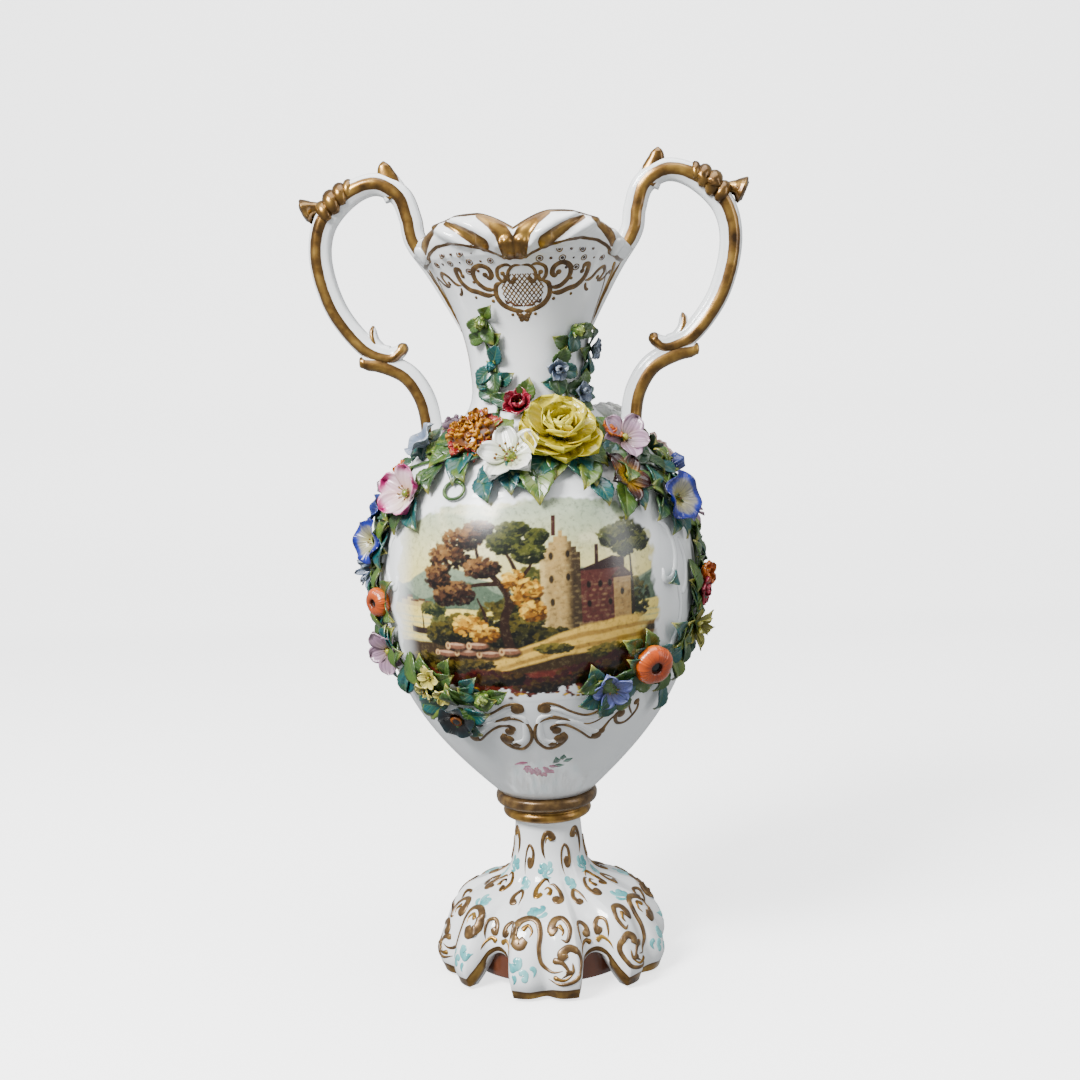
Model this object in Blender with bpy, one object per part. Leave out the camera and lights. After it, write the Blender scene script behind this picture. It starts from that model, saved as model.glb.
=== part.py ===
"""Two-handled baluster vase of porcelain, encrusted with modelled flowers.

Metres, +Z up. The origin is the centre of the foot on the ground, the front of the vase
faces -Y and the handles stand along X. Angles round the vase are measured from the front,
towards +X.
"""
import math
from collections import namedtuple

import bmesh
import bpy
from mathutils import Vector

# Gap left between pieces that touch
CLEARANCE = 0.0003

# Foot: six double lobes parted by arched notches, a stem and a gilt collar, hollow below
FOOT_LOBES = 6
FOOT_RADIUS = 0.0520
FOOT_STAND_RADIUS = 0.0495
FOOT_LOBE_HEIGHT = 0.0340
FOOT_WALL = 0.0042
NOTCH_RADIUS = 0.0405
NOTCH_HEIGHT = 0.0150
LOBE_DENT = 0.0030
STEM_RADIUS = 0.0149
STEM_HEIGHT = 0.0640
COLLAR_LOWER_RADIUS = 0.0186
COLLAR_UPPER_RADIUS = 0.0228
COLLAR_HEIGHT = 0.0157

# Body: turned in one piece from the collar to the everted lip
BODY_BASE_RADIUS = 0.0215
BELLY_RADIUS = 0.0705
BELLY_RISE = 0.0950
SHOULDER_RADIUS = 0.0400
SHOULDER_RISE = 0.0670
WAIST_RADIUS = 0.0252
WAIST_RISE = 0.0200
RIM_RADIUS = 0.0455
RIM_RISE = 0.0550
BODY_WALL = 0.0038
BODY_FLOOR = 0.0060

# Lip: two scrolled lobes in front and two behind, lowest where the handles spring
LIP_LOBE_RISE = 0.0165
LIP_EDGE = 0.0022
LIP_CUSP_DROP = 0.0085
LIP_SPAN = math.radians(66)
LIP_CUSP_SPAN = math.radians(19)
LIP_BULGE = 0.0040

# Handles: a scrolled strap with a ribbed face, a leaf tip, a bell knob and a spur
HANDLE_REACH = 0.0445
HANDLE_TAIL = 0.0300
STRAP_WIDTH = 0.0098
STRAP_DEPTH = 0.0096
SCROLL_WIDTH = 0.0092
HANDLE_SPREAD = 0.0045

# Flowers: a bloom's radius and height and a leaf's length are multiples of one size
BLOOM_SIZE = 0.0100
LEAF_THICKNESS = 0.0015
LEAF_WIDTH = 0.0084
LEAF_SLENDERNESS = 0.42
LEAF_LIFT = 0.0006
LEAF_BROADEST = 0.50
CALYX_SHARE = 0.26
HEART_SHARE = 0.85

BODY_BASE = STEM_HEIGHT + COLLAR_HEIGHT + CLEARANCE
BELLY_HEIGHT = BODY_BASE + BELLY_RISE
SHOULDER_HEIGHT = BELLY_HEIGHT + SHOULDER_RISE
WAIST_HEIGHT = SHOULDER_HEIGHT + WAIST_RISE
RIM_HEIGHT = WAIST_HEIGHT + RIM_RISE

# Segments round the body, and the angles that a lobe of the foot is drawn at, as shares of
# its half width
BODY_SEGMENTS = 28
LOBE_STATIONS = (0.0, 0.30, 0.60, 0.82)
LOBE_FLAT = 0.62

# How a bloom is made: rings from the calyx up, each with its share of the bloom's radius, its
# share of the height and how deep the petals part there
Ring = namedtuple("Ring", "radius height parting")

FLAT_BLOOM = (Ring(1.0, 0.80, 0.36), Ring(0.30, 0.70, 0.0))
CUPPED_BLOOM = (Ring(1.0, 1.0, 0.24), Ring(0.34, 0.50, 0.0))
BELL_BLOOM = (Ring(0.42, 0.40, 0.0), Ring(1.0, 1.0, 0.22), Ring(0.30, 0.55, 0.0))
BALL_BLOOM = (Ring(0.92, 0.36, 0.04), Ring(0.80, 0.82, 0.04), Ring(0.24, 0.96, 0.0))
SMALL_BLOOM = (Ring(1.0, 1.0, 0.28),)
BUD = (Ring(1.0, 0.36, 0.0), Ring(0.72, 0.84, 0.0))
ROSE = (Ring(0.80, 0.20, 0.05), Ring(1.0, 0.46, 0.12), Ring(0.70, 0.58, 0.0),
        Ring(0.64, 0.90, 0.10), Ring(0.20, 0.90, 0.0))
MARIGOLD = (Ring(1.0, 0.34, 0.13), Ring(0.80, 0.80, 0.08), Ring(0.36, 1.0, 0.0))

# A sprig is one bloom with the leaves that are luted on with it. Its place is an angle round
# the vase and a share of the way up the body's outline; a leaf is a direction, clockwise from
# straight up as seen from outside, and the length that it reaches where nothing is in its way
Sprig = namedtuple("Sprig", "name form petals angle share radius height colour leaves")

YELLOW = (0.78, 0.68, 0.16)
AMBER = (0.62, 0.26, 0.05)
CRIMSON = (0.45, 0.04, 0.07)
WHITE = (0.85, 0.85, 0.80)
ORANGE = (0.80, 0.25, 0.05)
LILAC = (0.50, 0.38, 0.58)
BLUE = (0.10, 0.20, 0.60)
NAVY = (0.05, 0.09, 0.30)
PINK = (0.85, 0.55, 0.65)
OLIVE = (0.45, 0.45, 0.12)
GREEN = (0.25, 0.38, 0.12)
SLATE = (0.30, 0.35, 0.42)

SPRIG_TABLE = (
    Sprig("yellow_rose", ROSE, 8, 19, 0.668, 1.80, 1.16, YELLOW,
          ((206, 2.7), (160, 2.5), (118, 2.6), (60, 2.4))),
    Sprig("amber_marigold", MARIGOLD, 8, -28, 0.676, 1.40, 0.86, AMBER,
          ((180, 2.8), (214, 2.5), (276, 2.2), (330, 2.0))),
    Sprig("white_anemone", FLAT_BLOOM, 6, -6, 0.606, 1.05, 0.66, WHITE,
          ((222, 1.8), (166, 1.9))),
    Sprig("crimson_bloom", CUPPED_BLOOM, 6, -5, 0.748, 0.72, 0.48, CRIMSON,
          ((290, 1.4), (24, 1.4))),
    Sprig("amber_pansy", FLAT_BLOOM, 5, 44, 0.586, 1.04, 0.48, AMBER,
          ((110, 1.7), (215, 1.8), (158, 1.5))),
    Sprig("orange_brown_bloom", SMALL_BLOOM, 5, 51, 0.668, 0.56, 0.36, ORANGE,
          ((20, 1.4),)),
    Sprig("lilac_bell", BELL_BLOOM, 5, 66, 0.622, 0.85, 0.91, LILAC,
          ((148, 1.6), (30, 1.3))),
    Sprig("blue_convolvulus", BELL_BLOOM, 5, 68, 0.536, 1.02, 0.71, BLUE,
          ((210, 1.9), (164, 1.8), (262, 1.6), (38, 1.5))),
    Sprig("navy_bud", BUD, 3, 91, 0.585, 0.52, 0.56, NAVY,
          ((300, 1.2), (60, 1.3))),
    Sprig("lilac_star", FLAT_BLOOM, 5, 92, 0.512, 0.82, 0.54, LILAC,
          ((165, 1.8), (216, 1.9), (70, 1.4))),
    Sprig("orange_bloom_right", CUPPED_BLOOM, 5, 84, 0.412, 0.74, 0.54, ORANGE,
          ((335, 1.7), (262, 1.6), (80, 1.4))),
    Sprig("crimson_bloom_right", SMALL_BLOOM, 5, 72, 0.366, 0.62, 0.42, CRIMSON,
          ((290, 1.5), (100, 1.4))),
    Sprig("olive_bloom", FLAT_BLOOM, 6, 67, 0.310, 0.80, 0.56, OLIVE,
          ((120, 1.5), (190, 1.4), (256, 1.4))),
    Sprig("orange_ranunculus", BALL_BLOOM, 6, 46, 0.302, 0.84, 0.64, ORANGE,
          ((75, 1.6), (150, 1.4), (350, 1.4), (298, 1.3))),
    Sprig("violet", FLAT_BLOOM, 5, 30, 0.268, 0.92, 0.48, (0.25, 0.25, 0.62),
          ((142, 1.4), (242, 1.5), (190, 1.2))),
    Sprig("wild_rose", CUPPED_BLOOM, 5, -53, 0.567, 1.12, 0.64, PINK,
          ((134, 2.0), (184, 1.8), (238, 1.9), (60, 1.6))),
    Sprig("slate_bell", BELL_BLOOM, 5, -60, 0.650, 0.76, 0.68, SLATE,
          ((320, 1.6), (98, 1.3), (250, 1.4))),
    Sprig("small_orange_bloom", SMALL_BLOOM, 5, -77, 0.596, 0.50, 0.31, ORANGE,
          ((110, 1.3),)),
    Sprig("mauve_bud", BUD, 3, -88, 0.562, 0.46, 0.56, LILAC,
          ((265, 1.2),)),
    Sprig("navy_bell", BELL_BLOOM, 5, -80, 0.514, 0.66, 0.58, NAVY,
          ((68, 1.6), (122, 1.6), (250, 1.4))),
    Sprig("blue_white_convolvulus", BELL_BLOOM, 5, -76, 0.456, 0.86, 0.71, BLUE,
          ((96, 1.7), (60, 1.6), (282, 1.6))),
    Sprig("grey_lilac_bloom", FLAT_BLOOM, 6, -90, 0.398, 0.86, 0.76, LILAC,
          ((175, 1.7), (265, 1.5), (118, 1.6))),
    Sprig("orange_bloom_left", BALL_BLOOM, 5, -64, 0.396, 0.60, 0.48, ORANGE,
          ((45, 1.5), (120, 1.4), (195, 1.4))),
    Sprig("lilac_bloom_left", FLAT_BLOOM, 5, -64, 0.314, 0.86, 0.61, LILAC,
          ((40, 1.6), (92, 1.5), (185, 1.4), (250, 1.5))),
    Sprig("primrose", CUPPED_BLOOM, 6, -38, 0.274, 0.80, 0.48, (0.75, 0.72, 0.40),
          ((350, 1.4), (58, 1.3), (250, 1.5))),
    Sprig("dark_auricula", BELL_BLOOM, 6, -30, 0.226, 0.68, 0.52, (0.05, 0.10, 0.12),
          ((85, 1.5), (210, 1.4), (140, 1.3))),
    Sprig("green_bud", BUD, 3, -17, 0.262, 0.42, 0.36, GREEN,
          ((80, 1.1), (285, 1.0))),
    Sprig("neck_bud_left", BUD, 3, -32, 0.890, 0.34, 0.34, GREEN,
          ((168, 1.2), (240, 0.8))),
    Sprig("neck_teal_bud", BUD, 3, -30, 0.815, 0.26, 0.22, (0.05, 0.35, 0.38),
          ((170, 1.4), (230, 1.1), (30, 1.1))),
    Sprig("neck_lilac_bloom", SMALL_BLOOM, 5, 31, 0.806, 0.58, 0.38, LILAC,
          ((176, 1.4), (96, 1.0), (20, 1.0))),
    Sprig("neck_bud_right", BUD, 3, 50, 0.868, 0.34, 0.34, GREEN,
          ((90, 1.0), (200, 1.0))),
    Sprig("neck_slate_bloom", SMALL_BLOOM, 5, 86, 0.836, 0.52, 0.36, SLATE,
          ((335, 1.0), (195, 1.4))),
    Sprig("neck_blue_bloom", SMALL_BLOOM, 5, 58, 0.766, 0.52, 0.36, BLUE,
          ((20, 1.1), (100, 1.2))),
    Sprig("back_white_camellia", ROSE, 6, 136, 0.662, 1.30, 0.76, WHITE,
          ((175, 2.2), (240, 2.0))),
    Sprig("back_peach_bloom", SMALL_BLOOM, 5, 112, 0.604, 0.88, 0.51, PINK,
          ((30, 1.5), (170, 1.6))),
    Sprig("back_blue_star", FLAT_BLOOM, 5, 161, 0.610, 0.88, 0.46, BLUE,
          ((200, 1.6), (140, 1.5))),
    Sprig("back_crimson_peony", ROSE, 6, 186, 0.672, 1.35, 0.81, CRIMSON,
          ((180, 2.4), (0, 2.0))),
    Sprig("back_yellow_bloom", CUPPED_BLOOM, 6, 211, 0.610, 0.88, 0.51, YELLOW,
          ((200, 1.6), (150, 1.6))),
    Sprig("back_lilac_camellia", MARIGOLD, 6, 236, 0.658, 1.18, 0.68, LILAC,
          ((190, 2.0), (130, 1.8))),
    Sprig("back_orange_bloom", BALL_BLOOM, 5, 112, 0.462, 0.66, 0.46, ORANGE,
          ((345, 1.8), (170, 1.8))),
    Sprig("back_violet", FLAT_BLOOM, 5, 122, 0.352, 0.76, 0.41, (0.25, 0.25, 0.62),
          ((340, 1.6), (140, 1.8))),
    Sprig("back_pink_bloom", CUPPED_BLOOM, 5, 248, 0.462, 0.70, 0.46, PINK,
          ((15, 1.8), (190, 1.8))),
    Sprig("back_navy_bloom", BELL_BLOOM, 5, 238, 0.352, 0.72, 0.52, NAVY,
          ((20, 1.6), (220, 1.8))),
)
SPRIGS = tuple(
    sprig._replace(radius=sprig.radius * BLOOM_SIZE, height=sprig.height * BLOOM_SIZE,
                   leaves=tuple((turn, length * BLOOM_SIZE) for turn, length in sprig.leaves))
    for sprig in SPRIG_TABLE)

PORCELAIN = (0.83, 0.85, 0.87)
GILDING = (0.55, 0.34, 0.11)


def clear_scene():
    """Remove whatever the file opened with."""
    for item in list(bpy.data.objects):
        bpy.data.objects.remove(item, do_unlink=True)


def finish(name, colour, roughness, metallic=0.0):
    """A Principled material."""
    material = bpy.data.materials.new(name)
    material.use_nodes = True
    shader = material.node_tree.nodes["Principled BSDF"]
    shader.inputs["Base Color"].default_value = (*colour, 1.0)
    shader.inputs["Roughness"].default_value = roughness
    shader.inputs["Metallic"].default_value = metallic
    return material


def curve_through(start, start_handle, end_handle, end, count):
    """Points of a cubic curve with its two handles given from its ends, without its end."""
    first = Vector(start)
    last = Vector(end)
    points = []
    for step in range(count):
        t = step / count
        points.append(first * (1 - t) ** 3
                      + (first + Vector(start_handle)) * 3 * t * (1 - t) ** 2
                      + (last + Vector(end_handle)) * 3 * t ** 2 * (1 - t)
                      + last * t ** 3)
    return points


def smooth_line(points, steps):
    """A line through every point, rounded between them."""
    points = [Vector(point) for point in points]
    padded = [2 * points[0] - points[1]] + points + [2 * points[-1] - points[-2]]
    line = []
    for before, here, after, beyond in zip(padded, padded[1:], padded[2:], padded[3:]):
        for step in range(steps):
            t = step / steps
            line.append(0.5 * (2 * here + (after - before) * t
                               + (2 * before - 5 * here + 4 * after - beyond) * t ** 2
                               + (3 * here - before - 3 * after + beyond) * t ** 3))
    line.append(points[-1])
    return line


class Outline:
    """The body's outer outline from the collar to the rim, as (radius, height)."""

    def __init__(self):
        base = (BODY_BASE_RADIUS, BODY_BASE)
        belly = (BELLY_RADIUS, BELLY_HEIGHT)
        shoulder = (SHOULDER_RADIUS, SHOULDER_HEIGHT)
        waist = (WAIST_RADIUS, WAIST_HEIGHT)
        rim = (RIM_RADIUS, RIM_HEIGHT)
        fall = SHOULDER_RISE
        overhang = BELLY_RADIUS - SHOULDER_RADIUS
        sweep = SHOULDER_RADIUS - WAIST_RADIUS
        flare = RIM_RADIUS - WAIST_RADIUS
        self.points = (
            curve_through(base, (0.53 * (BELLY_RADIUS - BODY_BASE_RADIUS), 0.263 * BELLY_RISE),
                          (0.0, -0.474 * BELLY_RISE), belly, 5)
            + curve_through(belly, (0.0, 0.552 * fall), (0.46 * overhang, -0.127 * fall), shoulder, 5)
            + curve_through(shoulder, (-0.47 * sweep, 0.225 * WAIST_RISE),
                            (0.0, -0.65 * WAIST_RISE), waist, 4)
            + curve_through(waist, (0.0, 0.40 * RIM_RISE), (-0.64 * flare, -0.255 * RIM_RISE),
                            rim, 4)
            + [Vector(rim)])
        self.lengths = [0.0]
        for start, end in zip(self.points, self.points[1:]):
            self.lengths.append(self.lengths[-1] + (end - start).length)

    def tangent(self, index):
        after = self.points[min(index + 1, len(self.points) - 1)]
        before = self.points[max(index - 1, 0)]
        return (after - before).normalized()

    def offset(self, distance):
        """The outline moved outwards, or inwards where the distance is negative."""
        moved = []
        for index, point in enumerate(self.points):
            along = self.tangent(index)
            moved.append(point + distance * Vector((along.y, -along.x)))
        return moved

    def at(self, share):
        """Point and direction upwards at a share of the outline's length."""
        wanted = share * self.lengths[-1]
        index = 0
        while index < len(self.lengths) - 2 and self.lengths[index + 1] < wanted:
            index += 1
        span = self.lengths[index + 1] - self.lengths[index]
        part = (wanted - self.lengths[index]) / span
        point = self.points[index].lerp(self.points[index + 1], part)
        return point, self.tangent(index).lerp(self.tangent(index + 1), part).normalized()

    def radius_at(self, height):
        """Outer radius of the neck or body at a height, read from the top down."""
        for upper, lower in zip(reversed(self.points), list(reversed(self.points))[1:]):
            if lower.y <= height <= upper.y:
                part = (height - lower.y) / (upper.y - lower.y)
                return lower.x + part * (upper.x - lower.x)
        return self.points[-1].x


SURFACE = Outline()


def turned(angle, radius, height):
    """A point at an angle from the front."""
    return Vector((radius * math.sin(angle), -radius * math.cos(angle), height))


def on_body(angle, share, lift):
    """A point above the body's surface."""
    point, along = SURFACE.at(share)
    return turned(angle, point.x + lift * along.y, point.y - lift * along.x)


def body_frame(angle, share):
    """Directions across, up the surface and out of it."""
    along = SURFACE.at(share)[1]
    across = Vector((math.cos(angle), math.sin(angle), 0.0))
    upwards = turned(angle, along.x, along.y)
    outwards = turned(angle, along.y, -along.x)
    return across, upwards, outwards


def place_mesh(shape, name, material):
    """An object made of a finished shape."""
    mesh = bpy.data.meshes.new(name)
    shape.to_mesh(mesh)
    shape.free()
    mesh.materials.append(material)
    item = bpy.data.objects.new(name, mesh)
    bpy.context.scene.collection.objects.link(item)
    return item


def skin(name, rings, material):
    """A closed body from rings of points, the first and last of them single points."""
    shape = bmesh.new()
    loops = [[shape.verts.new(point) for point in ring] for ring in rings]
    for lower, upper in zip(loops, loops[1:]):
        count = max(len(lower), len(upper))
        for step in range(count):
            after = (step + 1) % count
            if len(lower) == 1:
                shape.faces.new((lower[0], upper[after], upper[step]))
            elif len(upper) == 1:
                shape.faces.new((lower[step], lower[after], upper[0]))
            else:
                shape.faces.new((lower[step], lower[after], upper[after], upper[step]))
    bmesh.ops.recalc_face_normals(shape, faces=shape.faces)
    bmesh.ops.triangulate(shape, faces=shape.faces)
    return place_mesh(shape, name, material)


def settle(item, others, operation):
    """Apply Boolean modifiers with the other objects, and remove those."""
    for other in others:
        other.hide_render = True
        other.display_type = "WIRE"
        modifier = item.modifiers.new(other.name, "BOOLEAN")
        modifier.operation = operation
        modifier.solver = "EXACT"
        modifier.object = other
    depsgraph = bpy.context.evaluated_depsgraph_get()
    result = bpy.data.meshes.new_from_object(item.evaluated_get(depsgraph))
    item.modifiers.clear()
    item.data = result
    for other in others:
        bpy.data.objects.remove(other, do_unlink=True)
    return item


def acute(angle):
    """Angle from the nearer of front and back, 0 to a right angle."""
    turn = abs(math.remainder(angle, 2 * math.pi))
    return min(turn, math.pi - turn)


def lip_height(angle):
    """Height of the lip's crest above the rim's outline."""
    away = acute(angle)
    lobe = 0.5 - 0.5 * math.cos(math.pi * min(1.0, (math.pi / 2 - away) / LIP_SPAN))
    cusp = max(0.0, 1.0 - away / LIP_CUSP_SPAN) ** 1.5
    return LIP_LOBE_RISE * lobe - LIP_CUSP_DROP * cusp


def lip_sections(angle, margin):
    """The lip's outer section at an angle, from its lower edge to its crest."""
    rise = lip_height(angle)
    fullness = 0.35 + 0.65 * rise / LIP_LOBE_RISE
    bulge = LIP_BULGE * fullness
    low = RIM_HEIGHT + 0.36 * LIP_EDGE + 0.20 * rise
    crest = RIM_HEIGHT + LIP_EDGE + rise
    return ((RIM_RADIUS + 0.45 * bulge + margin, low - 0.5 * margin),
            (RIM_RADIUS + bulge + margin, 0.55 * low + 0.45 * crest),
            (RIM_RADIUS + 0.75 * bulge + margin, 0.15 * low + 0.85 * crest + 0.5 * margin),
            (RIM_RADIUS - 0.2 * bulge, crest + margin))


def body_angles():
    return [2 * math.pi * step / BODY_SEGMENTS for step in range(BODY_SEGMENTS)]


def outer_rings(margin):
    """Rings of the outer surface from the base to the lip's crest."""
    angles = body_angles()
    rings = [[turned(angle, point.x, point.y) for angle in angles]
             for point in SURFACE.offset(margin)]
    for level in range(4):
        rings.append([turned(angle, *lip_sections(angle, margin)[level]) for angle in angles])
    return rings


def make_body(material):
    """Body, neck and lip, hollow from the mouth down to a thick floor."""
    angles = body_angles()
    rings = [[(0.0, 0.0, BODY_BASE)]] + outer_rings(0.0)
    mouth = RIM_RADIUS - BODY_WALL
    rings.append([turned(angle, mouth, RIM_HEIGHT - 0.45 * LIP_EDGE + 0.75 * lip_height(angle))
                  for angle in angles])
    floor = BODY_BASE + BODY_FLOOR
    inner = [point for point in SURFACE.offset(-BODY_WALL)[1:-1] if point.y > floor]
    rings += [[turned(angle, point.x, point.y) for angle in angles] for point in reversed(inner)]
    rings.append([(0.0, 0.0, floor)])
    return skin("vase_body", rings, material)


def body_envelope(material):
    """The body with its mouth filled, grown by the clearance, to trim the handles with."""
    rings = [[(0.0, 0.0, BODY_BASE - CLEARANCE)]] + outer_rings(CLEARANCE)
    rings.append([(0.0, 0.0, RIM_HEIGHT + LIP_EDGE + CLEARANCE)])
    return skin("body_envelope", rings, material)


def lobe_weight(turn):
    """1 on a lobe and 0 in the notch between lobes, for a turn of 0 to 1 across half a lobe."""
    return 1.0 - max(0.0, (turn - LOBE_FLAT) / (1.0 - LOBE_FLAT)) ** 1.5


def foot_angles():
    """Angles round the foot with the share of half a lobe that each one is at."""
    half = math.pi / FOOT_LOBES
    stations = [-share for share in reversed(LOBE_STATIONS[1:])] + list(LOBE_STATIONS) + [1.0]
    return [((2 * lobe + share) * half, abs(share))
            for lobe in range(FOOT_LOBES) for share in stations]


def foot_ring(lobe_radius, lobe_height, valley_radius, valley_height, dent=0.0):
    """A ring of the flaring foot, between its section on a lobe and in a notch."""
    ring = []
    for angle, share in foot_angles():
        weight = lobe_weight(share)
        radius = valley_radius + weight * (lobe_radius - valley_radius)
        radius -= dent * max(0.0, 1.0 - share / LOBE_STATIONS[1])
        height = valley_height + weight * (lobe_height - valley_height)
        ring.append(turned(angle, radius, height))
    return ring


def round_ring(radius, height):
    return foot_ring(radius, height, radius, height)


def make_foot(material):
    """Collar, stem and lobed foot, hollow below."""
    top = STEM_HEIGHT + COLLAR_HEIGHT
    inner_stand = FOOT_STAND_RADIUS - FOOT_WALL
    inner_notch = NOTCH_RADIUS - FOOT_WALL
    inner_stem = STEM_RADIUS - FOOT_WALL
    rings = [
        [(0.0, 0.0, top)],
        round_ring(0.93 * COLLAR_UPPER_RADIUS, top),
        round_ring(COLLAR_UPPER_RADIUS, top - 0.28 * COLLAR_HEIGHT),
        round_ring(1.03 * COLLAR_LOWER_RADIUS, top - 0.58 * COLLAR_HEIGHT),
        round_ring(COLLAR_LOWER_RADIUS, top - 0.80 * COLLAR_HEIGHT),
        round_ring(STEM_RADIUS, STEM_HEIGHT),
        round_ring(1.09 * STEM_RADIUS, 0.79 * STEM_HEIGHT),
        foot_ring(1.38 * STEM_RADIUS, 1.20 * FOOT_LOBE_HEIGHT,
                  1.31 * STEM_RADIUS, 1.15 * FOOT_LOBE_HEIGHT),
        foot_ring(0.60 * FOOT_RADIUS, 1.04 * FOOT_LOBE_HEIGHT,
                  0.72 * NOTCH_RADIUS, 0.85 * FOOT_LOBE_HEIGHT),
        foot_ring(0.80 * FOOT_RADIUS, 0.89 * FOOT_LOBE_HEIGHT,
                  0.90 * NOTCH_RADIUS, 1.53 * NOTCH_HEIGHT, 0.3 * LOBE_DENT),
        foot_ring(0.93 * FOOT_RADIUS, 0.60 * FOOT_LOBE_HEIGHT,
                  0.99 * NOTCH_RADIUS, 1.20 * NOTCH_HEIGHT, 0.7 * LOBE_DENT),
        foot_ring(FOOT_RADIUS, 0.25 * FOOT_LOBE_HEIGHT,
                  1.02 * NOTCH_RADIUS, 1.08 * NOTCH_HEIGHT, LOBE_DENT),
        foot_ring(FOOT_STAND_RADIUS, 0.0, NOTCH_RADIUS, NOTCH_HEIGHT, LOBE_DENT),
        foot_ring(inner_stand, 0.0, inner_notch, NOTCH_HEIGHT, LOBE_DENT),
        foot_ring(0.62 * FOOT_RADIUS, 0.82 * FOOT_LOBE_HEIGHT,
                  0.67 * NOTCH_RADIUS, 0.65 * FOOT_LOBE_HEIGHT),
        round_ring(inner_stem, 1.03 * FOOT_LOBE_HEIGHT),
        [(0.0, 0.0, 0.79 * STEM_HEIGHT)],
    ]
    return skin("pedestal_foot", rings, material)


def strap(name, line, widths, depths, side, material):
    """A bar with a ribbed face along a line in the handle's plane, its ends closed."""
    rings = []
    section = ((1.0, 0.58), (0.0, 1.0), (-1.0, 0.58), (-1.0, -0.58), (0.0, -1.0), (1.0, -0.58))
    for index, point in enumerate(line):
        after = line[min(index + 1, len(line) - 1)]
        before = line[max(index - 1, 0)]
        along = (after - before).normalized()
        across = Vector((along.y, -along.x))
        ring = []
        for sideways, depth in section:
            place = point + across * sideways * widths[index]
            ring.append((side * place.x, depth * depths[index], place.y))
        rings.append(ring)
    for end, inner in ((0, 1), (-1, -2)):
        outwards = (line[end] - line[inner]).normalized()
        tip = line[end] + outwards * 0.35 * widths[end]
        cap = [(side * tip.x, 0.0, tip.y)]
        rings = [cap] + rings if end == 0 else rings + [cap]
    return skin(name, rings, material)


def tapered(line, stations):
    """Half sizes along a line, read between stations of (share of the line, half size)."""
    sizes = []
    for index in range(len(line)):
        share = index / (len(line) - 1)
        for (start, first), (end, last) in zip(stations, stations[1:]):
            if start <= share <= end:
                sizes.append(first + (last - first) * (share - start) / (end - start))
                break
    return sizes


def handle_place(across, up):
    """A point of the handle: shares of its reach past the rim and of the neck's height."""
    neck = RIM_HEIGHT - SHOULDER_HEIGHT
    return Vector((RIM_RADIUS + across * HANDLE_REACH, SHOULDER_HEIGHT + up * neck))


def beside_neck(drop, sunk=0.0):
    """A point beside the neck: shares of the tail below the rim and of the strap sunk in."""
    height = RIM_HEIGHT - drop * HANDLE_TAIL
    return Vector((SURFACE.radius_at(height) - sunk * STRAP_WIDTH, height))


def make_handle(name, side, material):
    """One handle: the upper scroll, the lower scroll, and the tips that spring from them."""
    half = STRAP_WIDTH / 2
    deep = STRAP_DEPTH / 2
    low = SCROLL_WIDTH / 2
    upper_line = smooth_line(
        [beside_neck(1.0, 0.10), beside_neck(0.57, 0.06), beside_neck(0.13, 0.30),
         handle_place(0.038, 1.130), handle_place(0.078, 1.255), handle_place(0.172, 1.392),
         handle_place(0.406, 1.462), handle_place(0.683, 1.405), handle_place(0.931, 1.250),
         handle_place(0.993, 1.030), handle_place(0.866, 0.755), handle_place(0.603, 0.540),
         handle_place(0.376, 0.474), handle_place(0.216, 0.515)], 2)
    upper_widths = tapered(upper_line, ((0.0, 0.30 * half), (0.14, 0.85 * half), (0.2, half),
                                        (0.94, half), (1.0, 0.62 * half)))
    upper_depths = tapered(upper_line, ((0.0, 0.45 * deep), (0.14, deep), (1.0, deep)))
    upper = strap(name, upper_line, upper_widths, upper_depths, side, material)
    foot = SURFACE.radius_at(SHOULDER_HEIGHT) + HANDLE_SPREAD
    lower_line = smooth_line(
        [handle_place(0.636, 0.430), handle_place(0.420, 0.428), handle_place(0.187, 0.358),
         handle_place(0.038, 0.230), Vector((foot, SHOULDER_HEIGHT + 0.65 * SCROLL_WIDTH)),
         Vector((foot, SHOULDER_HEIGHT - 0.82 * SCROLL_WIDTH))], 2)
    lower_widths = tapered(lower_line, ((0.0, 0.75 * low), (0.2, low), (1.0, low)))
    lower_depths = tapered(lower_line, ((0.0, 0.9 * deep), (1.0, deep)))
    lower = strap(name + "_scroll", lower_line, lower_widths, lower_depths, side, material)
    leaf_line = smooth_line([handle_place(0.260, 1.440), handle_place(0.286, 1.510),
                             handle_place(0.309, 1.570)], 1)
    leaf = strap(name + "_leaf_tip", leaf_line,
                 tapered(leaf_line, ((0.0, 0.75 * half), (0.5, 0.42 * half), (1.0, 0.22 * half))),
                 tapered(leaf_line, ((0.0, 0.65 * deep), (1.0, 0.25 * deep))), side, material)
    bell_line = smooth_line([handle_place(0.829, 1.350), handle_place(0.990, 1.340),
                             handle_place(1.114, 1.335), handle_place(1.177, 1.305)], 1)
    bell = strap(name + "_bell_knob", bell_line,
                 tapered(bell_line, ((0.0, 0.8 * half), (0.45, 0.55 * half), (0.85, 1.05 * half),
                                     (1.0, 0.95 * half))),
                 tapered(bell_line, ((0.0, 0.9 * deep), (0.45, 0.6 * deep), (0.85, 1.05 * deep),
                                     (1.0, 0.95 * deep))), side, material)
    spur_line = smooth_line([handle_place(0.479, 0.500), handle_place(0.496, 0.570),
                             handle_place(0.514, 0.640)], 1)
    spur = strap(name + "_spur", spur_line,
                 tapered(spur_line, ((0.0, 0.55 * half), (1.0, 0.24 * half))),
                 tapered(spur_line, ((0.0, 0.6 * deep), (1.0, 0.30 * deep))), side, material)
    handle = settle(upper, (lower, leaf, bell, spur), "UNION")
    return settle(handle, (body_envelope(material),), "DIFFERENCE")


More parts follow.
